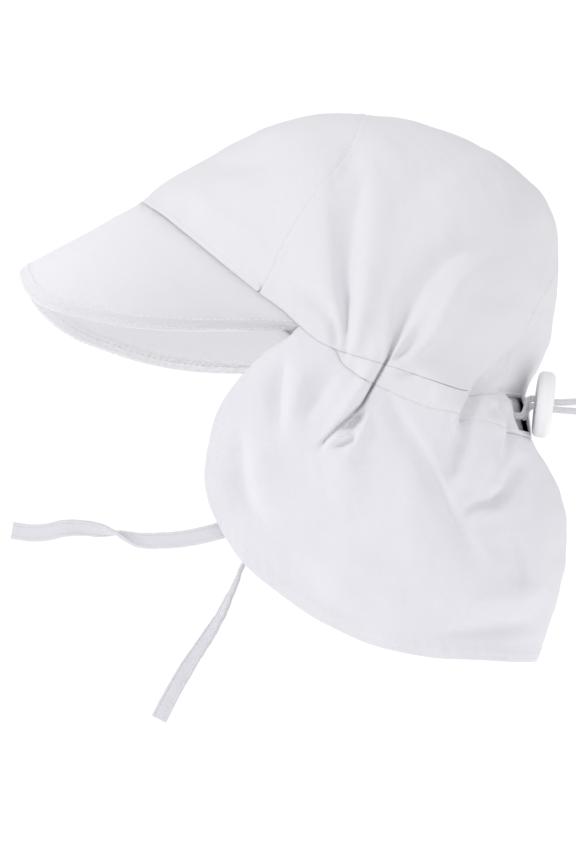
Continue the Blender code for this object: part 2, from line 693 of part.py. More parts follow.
def slot(item, middle, axis, rise, side):
    """A slot with round ends through the stopper, which takes the two runs of cord."""
    sides = 16
    radius = cord_diameter / 2 + cord_clearance
    points = []
    for h in (-stopper_thickness, stopper_thickness):
        for k in range(sides):
            angle = 2 * math.pi * (k + 0.5) / sides
            shift = math.copysign(cord_pitch() / 2, math.sin(angle))
            ring = rise * (radius * math.sin(angle) + shift) + side * radius * math.cos(angle)
            points.append(middle + ring + axis * h)
    faces = [[k, (k + 1) % sides, sides + (k + 1) % sides, sides + k] for k in range(sides)]
    faces += [list(range(sides))[::-1], [sides + k for k in range(sides)]]
    mesh = bpy.data.meshes.new("cutter")
    mesh.from_pydata([tuple(p) for p in points], [], faces)
    cutter = bpy.data.objects.new("cutter", mesh)
    bpy.context.scene.collection.objects.link(cutter)
    turn_outward(mesh)
    cut = item.modifiers.new("hole", "BOOLEAN")
    cut.operation = "DIFFERENCE"
    cut.solver = "EXACT"
    cut.object = cutter
    graph = bpy.context.evaluated_depsgraph_get()
    done = bpy.data.meshes.new_from_object(item.evaluated_get(graph))
    item.modifiers.clear()
    old = item.data
    item.data = done
    bpy.data.meshes.remove(old)
    bpy.data.objects.remove(cutter, do_unlink=True)
    bpy.data.meshes.remove(mesh)


def cord_route():
    """Middle line of the drawcord: in the casing, out of its mouth, through the stopper and back."""
    middle, axis, rise, side = (np.array(v) for v in stopper_frame())
    face = stopper_thickness / 2 + cord_diameter / 2
    apart = rise * cord_pitch() / 2
    lift = rise * cord_loop_length * 0.10
    rows = []
    for sign in (1, -1):
        inside = [casing_frame(mouth_station - sign * share * cord_inside * low.per_metre)
                  for share in (1.0, 0.6, 0.22)]
        leg = [place - normal * fold_depth(place) for place, fall, normal in inside]
        leg[2] = leg[2] + inside[2][2] * casing_swell * 0.6
        leg += [middle - axis * (face + 0.3 * cord_diameter) + sign * apart * 1.1]
        leg += [middle + sign * apart, middle + axis * face + sign * apart]
        leg += [middle + axis * (face + 0.45 * cord_loop_length) + sign * apart * 1.5 + lift * 0.5]
        leg += [middle + axis * (face + 0.86 * cord_loop_length) + sign * apart * 2.1 + lift]
        rows.append(leg if sign > 0 else leg[::-1])
    tip = middle + axis * (face + cord_loop_length) + rise * cord_loop_length * 0.11
    return np.array(rows[0] + [tip] + rows[1])


def make_cord():
    """The drawcord as a plain tube along its route."""
    route = cord_route()
    run = lengths(route)
    smooth = hermite(run, route, np.linspace(0, run[-1], 38))
    curve = bpy.data.curves.new("drawcord", "CURVE")
    curve.dimensions = "3D"
    curve.bevel_depth = cord_diameter / 2
    curve.bevel_resolution = 2
    curve.use_fill_caps = True
    line = curve.splines.new("POLY")
    line.points.add(len(smooth) - 1)
    for point, place in zip(line.points, smooth):
        point.co = (*map(float, place), 1.0)
    return finish_object("drawcord", curve, (0.86, 0.86, 0.88), 0.8)


def build():
    """Every piece of the hat."""
    foot = low.marks["seam foot"]
    back = low.marks["back seam"]
    make_crown_front()
    make_crown_side("crown_left", 1, rim_between(foot, back), (0.80, 0.79, 0.82))
    make_crown_side("crown_right", -1, rim_between(back, 2 - foot)[::-1], (0.80, 0.79, 0.82))
    make_peak()
    make_casing()
    make_flap()
    make_tie("tie_left", tie_left_rows, 1, True)
    make_tie("tie_right", tie_right_rows, -1, False)
    make_stopper()
    make_cord()


build()
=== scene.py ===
"""The looks of the flap sun hat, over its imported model: fine cloth with its folds, seams, hems and
stitches, the gathered casing, the ties, the stopper and the braided drawcord. Metres, +Z up, the peak
towards -Y and the wearer's left towards +X."""
import math
from collections import namedtuple

import bmesh
import bpy
import numpy as np
from mathutils import Matrix, Vector


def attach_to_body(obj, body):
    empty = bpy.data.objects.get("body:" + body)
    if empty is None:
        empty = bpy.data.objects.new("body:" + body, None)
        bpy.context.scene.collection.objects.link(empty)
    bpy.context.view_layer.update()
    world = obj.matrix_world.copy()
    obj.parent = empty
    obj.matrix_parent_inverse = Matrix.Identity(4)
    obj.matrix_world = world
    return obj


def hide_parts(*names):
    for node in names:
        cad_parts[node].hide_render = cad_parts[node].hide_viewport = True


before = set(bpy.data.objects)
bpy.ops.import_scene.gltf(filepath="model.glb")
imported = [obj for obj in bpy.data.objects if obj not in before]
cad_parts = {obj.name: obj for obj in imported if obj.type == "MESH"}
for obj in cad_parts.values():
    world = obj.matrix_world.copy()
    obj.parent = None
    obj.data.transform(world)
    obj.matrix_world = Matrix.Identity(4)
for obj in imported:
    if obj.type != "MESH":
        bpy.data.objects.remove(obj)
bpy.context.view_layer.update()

# The sizes, tables and curves below are the model's, read more finely. The casing is drawn flatter.

# Crown and head opening
head_width = 0.142
head_length = 0.182
crown_height = 0.083
crown_fullness = 2.2
crown_wall = 0.0016
seam_gap = 0.0003

# Peak
peak_reach = 0.056
peak_drop = 0.040
peak_arch = 0.0035
peak_wall = 0.0024
peak_skew = 0.006

# Drawstring casing across the back
casing_height = 0.0150
casing_swell = 0.0027
casing_inset = 0.0016
casing_wall = 0.0009
casing_gathers = 22
mouth_width = 0.016
mouth_puff = 0.0012
mouth_station = 0.925

# Neck flap
flap_depth = 0.138
flap_swell = 0.009
flap_wall = 0.0014
flap_hem_wave = 0.0005
flap_hem_waves = 7
flap_skew = 0.0046

# Ties
tie_length = 0.086
tie_width = 0.0066
tie_wall = 0.0011
tie_clearance = 0.0004

# Stopper and drawcord
stopper_diameter = 0.026
stopper_thickness = 0.0066
stopper_edge = 0.0022
stopper_turn = 6.0
stopper_tilt = 7.0
stopper_standoff = 0.0048
cord_clearance = 0.0007
cord_diameter = 0.0026
cord_loop_length = 0.024
cord_inside = 0.011

half_width = head_width / 2
half_length = head_length / 2

# Side outline of the crown, as shares of half the head length and of the crown height.
Outline = namedtuple("Outline", "along up")
crown_outline = [Outline(*row) for row in (
    (-1.0, 0.41), (-0.93, 0.49), (-0.848, 0.564), (-0.745, 0.66), (-0.642, 0.724), (-0.521, 0.798),
    (-0.38, 0.874), (-0.245, 0.94), (-0.078, 0.977), (0.059, 0.977), (0.187, 0.964), (0.315, 0.944),
    (0.432, 0.909), (0.55, 0.863), (0.651, 0.799), (0.74, 0.745), (0.82, 0.672), (0.903, 0.574),
    (0.95, 0.453), (0.963, 0.336), (0.967, 0.224), (0.961, 0.115), (0.944, 0.0), (0.931, -0.11),
    (0.881, -0.239), (0.842, -0.311), (0.817, -0.396), (0.818, -0.5), (0.845, -0.6), (0.87, -0.7),
)]

# Low edge of the crown, from the middle of the front round the wearer's left to the middle of the back.
Spot = namedtuple("Spot", "mark across along up")
low_edge = [Spot(*row) for row in (
    ("front", 0.0, -0.859, 0.567), ("", 0.3, -0.83, 0.535), ("", 0.52, -0.785, 0.49),
    ("", 0.68, -0.725, 0.432), ("", 0.81, -0.64, 0.35), ("", 0.9, -0.52, 0.24), ("", 0.95, -0.4, 0.13),
    ("seam foot", 0.98, -0.265, 0.008), ("", 0.99, -0.17, -0.07), ("peak end", 0.99, -0.09, -0.15),
    ("", 0.98, -0.01, -0.22), ("casing end", 0.975, 0.045, -0.25), ("", 0.97, 0.12, -0.28),
    ("pinch", 0.93, 0.27, -0.325), ("", 0.86, 0.41, -0.37), ("", 0.75, 0.55, -0.41),
    ("", 0.59, 0.69, -0.43), ("back seam", 0.46, 0.77, -0.425), ("", 0.21, 0.82, -0.405),
    ("back", 0.0, 0.83, -0.4),
)]

# Seam over the crown, from its foot on the wearer's left up to the middle of the top.
crown_seam = [Spot(*row) for row in (
    ("foot", 0.98, -0.265, 0.008), ("", 0.99, -0.22, 0.09), ("", 0.97, -0.16, 0.23),
    ("", 0.92, -0.04, 0.45), ("", 0.84, 0.04, 0.59), ("", 0.69, 0.11, 0.76), ("", 0.45, 0.14, 0.92),
    ("", 0.22, 0.145, 0.98), ("top", 0.0, 0.15, 0.985),
)]

# Seam down the back, from the top to the casing; it is drawn over to the wearer's left low down.
back_seam = [Spot(*row) for row in (
    ("top", 0.0, 0.15, 0.985), ("", 0.0, 0.44, 0.925), ("", 0.0, 0.745, 0.75), ("", 0.01, 0.955, 0.455),
    ("", 0.09, 0.97, 0.21), ("", 0.29, 0.93, 0.11), ("", 0.43, 0.87, -0.02), ("", 0.47, 0.83, -0.17),
    ("", 0.47, 0.8, -0.3), ("foot", 0.46, 0.77, -0.425),
)]

# Height of the casing from its end at the side to the middle of the back, as a share of casing_height.
CasingRow = namedtuple("CasingRow", "way height")
casing_rows = [CasingRow(*row) for row in (
    (0.0, 0.16), (0.05, 0.3), (0.12, 0.48), (0.28, 0.66), (0.5, 0.78), (0.72, 0.92), (1.0, 1.0),
)]

# Outer edge of the peak: shares of half the head width, of peak_reach ahead of the low edge's front,
# and of peak_drop below it.
PeakRow = namedtuple("PeakRow", "across ahead drop")
peak_edge = [PeakRow(*row) for row in (
    (0.0, 0.93, 0.64), (0.17, 0.895, 0.77), (0.34, 0.805, 0.95), (0.59, 0.585, 1.17), (0.76, 0.31, 1.31),
    (0.845, 0.1, 1.4), (0.925, -0.21, 1.48), (0.965, -0.46, 1.51), (0.99, -0.78, 1.52),
    (0.995, -1.05, 1.52), (0.992, -1.18, 1.51),
)]

# Free edge of the flap on the wearer's left, from the end of the peak to the middle of the back.
FlapRow = namedtuple("FlapRow", "across along depth")
flap_edge = [FlapRow(*row) for row in (
    (0.99, -0.13, 0.118), (0.985, -0.255, 0.17), (0.96, -0.38, 0.26), (0.925, -0.47, 0.365),
    (0.88, -0.5, 0.48), (0.83, -0.475, 0.6), (0.78, -0.36, 0.725), (0.735, -0.18, 0.832),
    (0.695, 0.03, 0.918), (0.64, 0.2, 0.966), (0.56, 0.38, 0.992), (0.44, 0.58, 1.0), (0.28, 0.76, 1.003),
    (0.13, 0.835, 1.0), (0.0, 0.85, 0.995),
)]

# How far the flap bellies out between its top and its free edge, as a share of flap_swell.
SwellRow = namedtuple("SwellRow", "way swell")
flap_swells = [SwellRow(*row) for row in (
    (0.0, 1.5), (0.2, 1.2), (0.4, 0.8), (0.6, 0.55), (0.8, 0.4), (1.0, 0.1),
)]

# Middle lines of the ties: shares of half the head width, half the head length and flap_depth at the
# root, then of tie_length; roll turns the tape about its own line, in degrees.
TieRow = namedtuple("TieRow", "ahead left rise roll")
tie_left_rows = [TieRow(*row) for row in (
    (0.0, 0.0, 0.0, 6), (0.07, 0.004, -0.02, 8), (0.16, 0.006, -0.04, 10), (0.29, 0.0, -0.052, 14),
    (0.4, -0.008, -0.048, 30), (0.49, -0.012, -0.018, 82), (0.57, -0.008, -0.004, 126),
    (0.67, 0.002, 0.008, 156), (0.75, 0.01, 0.004, 166), (0.81, 0.006, -0.01, 176),
    (0.88, 0.0, -0.014, 182), (0.975, -0.004, -0.002, 184),
)]
tie_right_rows = [TieRow(*row) for row in (
    (0.0, 0.0, 0.0, 4), (0.028, 0.006, -0.026, 30), (0.062, 0.014, -0.062, 74), (0.112, 0.018, -0.17, 72),
    (0.172, 0.024, -0.3, 56), (0.25, 0.034, -0.43, 34), (0.335, 0.044, -0.56, 16), (0.41, 0.052, -0.69, 6),
    (0.475, 0.058, -0.815, 0),
)]
tie_root_across = 0.800
tie_root_along = -0.415
tie_root_depth = 0.640

# Degrees up from the back, and reaches in metres, which close the crown's outline below the low edge
below_rows = ((-180, 0.0973), (-135, 0.098), (-90, 0.099), (-60, 0.101), (-46, 0.103), (-40, 0.1015),
              (180, 0.0973))


def hermite(knots, values, at):
    """A smooth curve through the values at their knots, read at the given places."""
    knots = np.asarray(knots, float)
    values = np.asarray(values, float)
    at = np.clip(np.asarray(at, float), knots[0], knots[-1])
    slopes = np.gradient(values, knots, axis=0)
    i = np.clip(np.searchsorted(knots, at) - 1, 0, len(knots) - 2)
    step = knots[i + 1] - knots[i]
    u = (at - knots[i]) / step
    if values.ndim > 1:
        step = step[..., None]
        u = u[..., None]
    start = (2 * u ** 3 - 3 * u ** 2 + 1) * values[i] + (u ** 3 - 2 * u ** 2 + u) * step * slopes[i]
    end = (3 * u ** 2 - 2 * u ** 3) * values[i + 1] + (u ** 3 - u ** 2) * step * slopes[i + 1]
    return start + end


def lengths(points):
    """Distance run along a row of points."""
    steps = np.linalg.norm(np.diff(points, axis=0), axis=1)
    return np.concatenate([[0.0], np.cumsum(steps)])


def unit(vectors):
    """Vectors of length one."""
    vectors = np.asarray(vectors, float)
    size = np.linalg.norm(vectors, axis=-1, keepdims=True)
    return vectors / np.maximum(size, 1e-12)


def outline_reach(angle):
    """Distance from the origin to the crown's side outline at an angle up from the back."""
    rows = np.array([(row.along * half_length, row.up * crown_height) for row in crown_outline])
    angles = np.concatenate([np.arctan2(rows[:, 1], rows[:, 0]), np.radians([row[0] for row in below_rows])])
    reaches = np.concatenate([np.hypot(rows[:, 0], rows[:, 1]), [row[1] for row in below_rows]])
    order = np.argsort(angles)
    return hermite(angles[order], reaches[order], angle)


def fill(points):
    """One on the crown's form, less inside it, more outside it."""
    radius = np.hypot(points[..., 1], points[..., 2])
    reach = outline_reach(np.arctan2(points[..., 2], points[..., 1]))
    wide = (np.abs(points[..., 0]) / half_width) ** crown_fullness
    return (wide + (radius / reach) ** crown_fullness) ** (1 / crown_fullness)


def on_crown(directions):
    """The point of the crown's form in each direction from the origin."""
    directions = np.asarray(directions, float)
    return directions / fill(directions)[..., None]


def crown_normal(points):
    """Outward normal of the crown's form."""
    step = 1e-5
    slopes = [fill(points + step * axis) - fill(points - step * axis) for axis in np.eye(3)]
    return unit(np.stack(slopes, axis=-1))


def spot_points(rows):
    """Places of a table of spots, in metres."""
    return np.array([(r.across * half_width, r.along * half_length, r.up * crown_height) for r in rows])


class Loop:
    """The crown's low edge as a closed curve: 0 at the front, up to 1 at the back by the wearer's left,
    and on to 2 at the front again."""

    def __init__(self, rows):
        near = on_crown(spot_points(rows))
        far = near[-2:0:-1] * (-1, 1, 1)
        ring = np.concatenate([near, far])
        run = lengths(np.concatenate([ring, ring[:1]]))
        whole = run[-1]
        self.per_metre = 2 / whole
        self.marks = {row.mark: 2 * run[i] / whole for i, row in enumerate(rows) if row.mark}
        knots = 2 * run[:-1] / whole
        self.knots = np.concatenate([knots[-3:] - 2, knots, knots[:4] + 2])
        self.values = np.concatenate([ring[-3:], ring, ring[:4]])

    def at(self, station):
        """Points of the edge on the crown's form."""
        return on_crown(hermite(self.knots, self.values, np.mod(station, 2.0)))


low = Loop(low_edge)


def mirrored(rows):
    """A table's points from the far end over the middle to the near end, with a share of its length."""
    near = np.asarray(rows, float)
    full = np.concatenate([near[::-1] * (-1, 1, 1), near[1:]])
    run = lengths(full)
    return 2 * run / run[-1] - 1, full


def seam_over(share):
    """The seam over the crown: -1 at its right foot, 0 at the top, 1 at its left foot."""
    knots, points = mirrored(spot_points(crown_seam)[::-1])
    return on_crown(hermite(knots, points, share))


def seam_back(share):
    """The back seam: 0 at the top, 1 at the casing."""
    points = spot_points(back_seam)
    run = lengths(points)
    return on_crown(hermite(run / run[-1], points, share))


def low_frame(station):
    """Edge point, outward normal and the way down, away from the crown, at a station of the low edge."""
    point = low.at(station)
    normal = crown_normal(point)
    along = low.at(np.asarray(station) + 0.002) - low.at(np.asarray(station) - 0.002)
    down = unit(np.cross(along, normal))
    return point, normal, down


def grid_normal(grid, outward):
    """Normals of a grid of points, on its outward side."""
    face = unit(np.cross(np.gradient(grid, axis=0), np.gradient(grid, axis=1)))
    return face * np.sign(np.sum(face * outward, axis=-1, keepdims=True))


# The photograph's camera
camera_azimuth = math.radians(96.0)
camera_elevation = math.radians(-6.0)
camera_distance = 1.5
metres_per_pixel = 0.0004
picture = (576, 864)
origin_pixel = (338.0, 318.0)
floor_height = -0.45

camera_right = np.array([math.cos(camera_azimuth), math.sin(camera_azimuth), 0.0])
camera_back = np.array([math.sin(camera_azimuth) * math.cos(camera_elevation),
                        -math.cos(camera_azimuth) * math.cos(camera_elevation), math.sin(camera_elevation)])
camera_up = np.cross(camera_back, camera_right)
camera_target = metres_per_pixel * (camera_right * (picture[0] / 2 - origin_pixel[0])
                                    + camera_up * (origin_pixel[1] - picture[1] / 2))

# Folds as the camera sees them on the wearer's left: pixels from the picture's top left corner for the
# place and width, and shares of fold_scale, in metres, for the depth, which is below nought on a ridge.
# A fold with a skew above nought is wider on the left of its way down, and steeper on the right. The
# far side has the same ones.
fold_scale = 0.0014
Crease = namedtuple("Crease", "skew rows")
creases = [Crease(*row) for row in (
    # crown, ahead of the pinch
    (0.45, ((318, 140, 22, 0), (322, 190, 26, -1.4), (325, 240, 27, -2.2), (330, 275, 20, -2.4),
     (337, 303, 12, -2.2), (342, 325, 7, -1.5), (345, 345, 5, 0))),
    (0.45, ((368, 160, 9, 0), (360, 190, 10, 0.9), (352, 230, 12, 1.4), (348, 270, 11, 1.7),
     (347, 305, 8, 1.7), (346, 330, 6, 1.6), (346, 352, 5, 0.9), (344, 366, 5, 0))),
    (-0.2, ((374, 165, 10, 0), (374, 205, 14, -1.2), (370, 260, 15, -1.8), (363, 305, 11, -1.8),
     (356, 340, 6, -1.2), (353, 356, 5, 0))),
    (0.2, ((292, 286, 8, 0), (312, 298, 8, 1.2), (326, 309, 7, 1.7), (333, 322, 5, 1.8), (336, 340, 4, 1.3),
     (337, 354, 4, 0))),
    (0.0, ((196, 174, 10, 0), (220, 165, 12, 1.0), (250, 160, 13, 1.2), (282, 157, 13, 0.8),
     (304, 154, 12, 0))),
    (0.2, ((180, 190, 12, 0), (190, 205, 13, 0.7), (186, 222, 12, 0.7), (176, 236, 10, 0))),
    (0.0, ((352, 132, 10, 0), (352, 148, 11, 0.9), (350, 164, 11, 1.1), (350, 182, 12, 0))),
    # crown, behind the pinch
    (0.3, ((512, 258, 11, 0), (492, 248, 12, 1.1), (466, 247, 12, 1.4), (444, 262, 13, 1.6),
     (424, 286, 14, 2.0), (411, 308, 12, 2.7), (402, 328, 7, 3.0), (394, 346, 3.4, 2.9),
     (388, 360, 1.7, 2.8), (380, 374, 1.5, 2.7), (371, 390, 1.5, 2.7), (363, 405, 1.9, 2.9),
     (353, 415, 2.4, 3.0), (338, 428, 1.9, 2.2), (325, 441, 1.7, 1.6), (317, 454, 5, 0))),
    (-0.2, ((496, 262, 10, 0), (478, 268, 12, -0.9), (460, 281, 13, -1.5), (447, 303, 13, -1.7),
     (436, 326, 11, -1.6), (424, 345, 8, -1.5), (410, 358, 5, -1.3), (396, 364, 4, -0.8),
     (388, 365, 3, 0))),
    (0.0, ((428, 322, 9, 0), (419, 336, 8, 0.7), (409, 348, 6, 1.3), (399, 357, 5, 1.7), (388, 362, 4, 0))),
    (0.1, ((538, 322, 6, 0), (528, 343, 6, 1.0), (514, 357, 6, 1.6), (500, 370, 6, 1.8), (488, 381, 6, 2.4),
     (480, 389, 6, 3.0), (474, 400, 6, 3.2), (468, 412, 6, 3.0), (464, 424, 6, 2.6), (464, 436, 8, 2.0),
     (462, 452, 12, 1.7), (456, 472, 14, 1.2), (450, 492, 14, 0))),
    (0.0, ((478, 386, 6, 0), (490, 389, 6, 1.6), (506, 392, 7, 1.4), (522, 398, 7, 1.0), (532, 404, 6, 0))),
    (0.0, ((478, 380, 4, 0), (469, 393, 4, -1.0), (461, 408, 4, -1.3), (456, 423, 4, -1.0),
     (454, 434, 4, 0))),
    (0.0, ((476, 408, 5, 0), (488, 401, 5, -1.0), (500, 399, 5, -1.1), (513, 403, 5, -0.8),
     (521, 410, 5, 0))),
    (0.0, ((486, 411, 3.5, 0), (494, 412, 3.5, 1.0), (501, 407, 3.5, 1.0), (508, 405, 4, 0.8),
     (512, 412, 4, 2.0), (513, 423, 4, 2.6), (512, 434, 4, 2.0), (508, 446, 4, 1.3), (503, 458, 5, 0.8),
     (499, 468, 6, 0))),
    (0.0, ((394, 374, 3, 0), (404, 375, 3, 0.9), (414, 375, 3, 0.9), (424, 374, 3, 0))),
    (0.0, ((470, 130, 24, 0), (440, 150, 26, 0.9), (420, 190, 28, 0.9), (404, 235, 24, 0))),
    (0.0, ((545, 262, 14, 0), (540, 290, 12, -0.8), (536, 318, 10, -0.7), (534, 340, 8, 0))),
    # flap, ahead of the pinch
    (0.4, ((284, 356, 8, 0), (282, 376, 9, 1.7), (280, 398, 10, 2.1), (279, 418, 10, 1.7),
     (277, 442, 10, 0))),
    (0.3, ((336, 366, 10, 0), (328, 382, 13, 1.6), (318, 398, 14, 2.2), (310, 411, 11, 1.6),
     (303, 426, 10, 0))),
    (0.0, ((300, 362, 9, 0), (300, 380, 9, -0.8), (296, 400, 10, -0.9), (290, 422, 11, 0))),
    (0.3, ((238, 424, 10, 0), (241, 452, 11, 1.5), (243, 480, 11, 1.9), (248, 500, 11, 1.6),
     (258, 518, 10, 0.8), (268, 530, 9, 0))),
    (0.0, ((262, 430, 14, 0), (262, 462, 15, -1.0), (266, 495, 14, -0.7), (276, 512, 12, 0))),
    (0.0, ((326, 446, 3.5, 0), (336, 437, 4, -1.6), (346, 434, 4, -1.8), (354, 428, 4, 0))),
    (0.0, ((330, 447, 3, 0), (342, 445, 3, 1.2), (351, 440, 3, 1.2), (358, 431, 3, 0))),
    (0.0, ((336, 430, 5, 0), (350, 426, 6, 3.2), (359, 418, 4, 3.4), (364, 406, 3, 0))),
    (0.0, ((376, 344, 6, 0), (372, 366, 6, -0.9), (360, 388, 6, -1.2), (346, 408, 6, -1.0),
     (330, 424, 6, 0))),
    (0.0, ((368, 410, 6, 0), (362, 428, 7, -1.2), (352, 446, 10, -1.8), (342, 460, 13, -1.8),
     (346, 480, 16, -1.0), (362, 505, 18, 0))),
    (0.0, ((305, 470, 16, 0), (326, 452, 11, -0.8), (348, 402, 9, -0.9), (366, 372, 7, 0))),
    # flap, behind the pinch
    (0.35, ((384, 388, 8, 0), (394, 406, 9, 1.3), (408, 430, 9, 1.7), (424, 455, 8, 2.1),
     (436, 476, 8, 2.2), (445, 496, 8, 2.0), (453, 516, 8, 2.0), (464, 537, 8, 1.7), (478, 557, 10, 1.2),
     (492, 573, 11, 0))),
    (0.0, ((526, 454, 6, 0), (519, 468, 7, 1.5), (511, 482, 6, 1.9), (505, 494, 5, 2.4), (495, 503, 5, 2.6),
     (481, 505, 5, 2.3), (469, 510, 6, 1.6), (465, 522, 9, 0.9), (470, 536, 10, 0))),
    (0.0, ((497, 440, 9, 0), (498, 462, 9, -1.2), (492, 484, 9, -1.5), (474, 490, 9, 0))),
    (0.3, ((496, 512, 14, 0), (510, 538, 13, 1.5), (519, 560, 11, 1.9), (521, 580, 9, 1.5),
     (515, 600, 9, 0))),
    (0.0, ((548, 470, 12, 0), (548, 520, 12, -0.8), (545, 575, 12, -0.8), (538, 606, 10, 0))),
    (0.0, ((246, 530, 12, 0), (280, 534, 14, 1.3), (320, 537, 14, 1.5), (360, 545, 14, 1.2),
     (400, 553, 14, 0.6), (430, 554, 12, 0))),
    (0.0, ((430, 604, 14, 0), (466, 600, 14, -1.2), (500, 597, 13, -1.4), (530, 592, 12, -0.8),
     (550, 586, 10, 0))),
    (0.0, ((424, 640, 8, 0), (456, 633, 9, 1.4), (490, 630, 9, 1.8), (520, 627, 9, 1.6), (548, 622, 9, 0))),
    (0.0, ((276, 548, 16, 0), (298, 574, 18, 0.9), (322, 598, 16, 0.8), (346, 618, 12, 0))),
    (0.3, ((458, 424, 8, 0), (458, 444, 11, 1.3), (456, 466, 12, 1.5), (452, 488, 11, 0.8),
     (450, 500, 10, 0))),
    (0.0, ((400, 470, 16, 0), (412, 500, 18, -0.9), (420, 540, 18, -0.7), (416, 580, 16, 0))),
)]


def in_picture(points):
    """Pixels at which the camera sees points, each taken to the wearer's left."""
    near = np.asarray(points) * 1.0
    near[..., 0] = np.abs(near[..., 0])
    near = near - camera_target
    scale = camera_distance / (camera_distance - near @ camera_back) / metres_per_pixel
    return picture[0] / 2 + near @ camera_right * scale, picture[1] / 2 - near @ camera_up * scale


def crease_depth(points):
    """Depth of the folds at points, fading on the hat's middle plane."""
    x, y = in_picture(points)
    total = np.zeros(x.shape)
    for crease in creases:
        rows = np.asarray(crease.rows, float)
        reach = 3 * rows[:, 2].max() * (1 + abs(crease.skew))
        near = ((x > rows[:, 0].min() - reach) & (x < rows[:, 0].max() + reach)
                & (y > rows[:, 1].min() - reach) & (y < rows[:, 1].max() + reach))
        if not near.any():
            continue
        px, py = x[near], y[near]
        best = np.full(px.shape, 1e9)
        width = np.ones(px.shape)
        depth = np.zeros(px.shape)
        side = np.zeros(px.shape)
        for a, b in zip(rows[:-1], rows[1:]):
            dx, dy = b[0] - a[0], b[1] - a[1]
            share = np.clip(((px - a[0]) * dx + (py - a[1]) * dy) / (dx * dx + dy * dy), 0, 1)
            off = np.hypot(px - a[0] - share * dx, py - a[1] - share * dy)
            closer = off < best
            best = np.where(closer, off, best)
            width = np.where(closer, a[2] + share * (b[2] - a[2]), width)
            depth = np.where(closer, a[3] + share * (b[3] - a[3]), depth)
            side = np.where(closer, np.sign(dx * (py - a[1]) - dy * (px - a[0])), side)
        width = width * (1 + crease.skew * side)
        total[near] += depth * np.exp(-(best / width) ** 2)
    middle = np.clip(np.abs(points[..., 0]) / (0.35 * half_width), 0, 1)
    return total * fold_scale * middle * middle * (3 - 2 * middle)


def waver(points, size, seed, waves=14):
    """A smooth uneven field about nought, of about the size given from crest to crest."""
    source = np.random.default_rng(seed)
    ways = unit(source.normal(size=(waves, 3))) * source.uniform(0.6, 1.5, (waves, 1)) * 2 * math.pi / size
    start = source.uniform(0, 2 * math.pi, waves)
    return np.sin(np.asarray(points) @ ways.T + start).sum(axis=-1) / math.sqrt(waves / 2)


def rumple(points):
    """Soft uneven waves of worn cotton."""
    sizes = ((0.00022, 0.034, 3), (0.00009, 0.014, 4), (0.00003, 0.006, 5))
    return sum(tall * waver(points, size, seed) for tall, size, seed in sizes)


def runs(grid):
    """Distance along each row and down each column of a grid."""
    across = np.linalg.norm(np.diff(grid, axis=1), axis=2)
    down = np.linalg.norm(np.diff(grid, axis=0), axis=2)
    across = np.concatenate([np.zeros((grid.shape[0], 1)), np.cumsum(across, axis=1)], axis=1)
    down = np.concatenate([np.zeros((1, grid.shape[1])), np.cumsum(down, axis=0)], axis=0)
    return across, down


def bump(distance, middle, width):
    """One at a distance from an edge, fading to each side."""
    return np.exp(-((distance - middle) / width) ** 2)


def step_down(distance, edge, soft):
    """One nearer than the edge, nought beyond it."""
    return 0.5 - 0.5 * np.tanh((distance - edge) / soft)


def pucker(distance, run, middle, reach, size, seed):
    """The small uneven waves that a line of stitches draws up across itself."""
    pitch = 0.0062
    drift = 0.9 * np.sin(run / 0.017 + seed) + 0.7 * np.sin(run / 0.0071 + 2.1 * seed)
    tall = 0.65 + 0.35 * np.sin(run / 0.023 + 1.7 * seed)
    wave = np.sin(2 * math.pi * run / pitch + drift + 420 * (distance - middle))
    return size * tall * wave * bump(distance, middle, reach)


def sewn(distance, run, seed, fold=0.0):
    """Relief of a seam at an edge: the cloth dips at it, with a row of stitches beside it."""
    dip = -0.00008 * np.exp(-distance / 0.0005) + 0.00012 * bump(distance, 0.0014, 0.0009)
    dip = dip - 0.00014 * bump(distance, fold, 0.0005) * (fold > 0)
    return dip + pucker(distance, run, 0.0015, 0.004, 0.00008, seed)


def hemmed(distance, run, width, seed, size=0.00024):
    """Relief of a hem at a free edge: a turned band, its stitches and the puckers that they make."""
    band = 0.00028 * step_down(distance, width, 0.0004) - 0.00026 * bump(distance, width - 0.0012, 0.0005)
    return band + pucker(distance, run, 0.55 * width, 0.55 * width, size, seed)


def link(mesh, name):
    """An object of a mesh in the scene."""
    item = bpy.data.objects.new(name, mesh)
    bpy.context.scene.collection.objects.link(item)
    return item


def grown(name, points, faces, uv, paint):
    """A smooth mesh object with its cloth laid out in metres."""
    mesh = bpy.data.meshes.new(name)
    mesh.from_pydata(np.asarray(points, float).tolist(), [], faces)
    mesh.shade_smooth()
    if uv is not None:
        layer = mesh.uv_layers.new(name="cloth")
        index = np.zeros(len(mesh.loops), dtype=np.int32)
        mesh.loops.foreach_get("vertex_index", index)
        layer.data.foreach_set("uv", np.asarray(uv, np.float32)[index].ravel())
    mesh.materials.append(paint)
    return link(mesh, name)


def face_outward(mesh):
    """Turns the faces of a closed mesh outward."""
    shape = bmesh.new()
    shape.from_mesh(mesh)
    bmesh.ops.recalc_face_normals(shape, faces=shape.faces)
    shape.to_mesh(mesh)
    shape.free()


def tube_faces(base, rings, sides, hole=(0, 0, 0, 0)):
    """Quads round a tube of rings, less those of a hole: its first and last ring and side."""
    faces = []
    for r in range(rings - 1):
        for s in range(sides):
            if hole[0] <= r < hole[1] and hole[2] <= s < hole[3]:
                continue
            n = (s + 1) % sides
            faces.append([base + r * sides + s, base + r * sides + n,
                          base + (r + 1) * sides + n, base + (r + 1) * sides + s])
    return faces


def end_faces(base, rings, sides):
    """The faces that close both ends of a tube of rings."""
    last = base + (rings - 1) * sides
    return [[base + s for s in range(sides)][::-1], [last + s for s in range(sides)]]


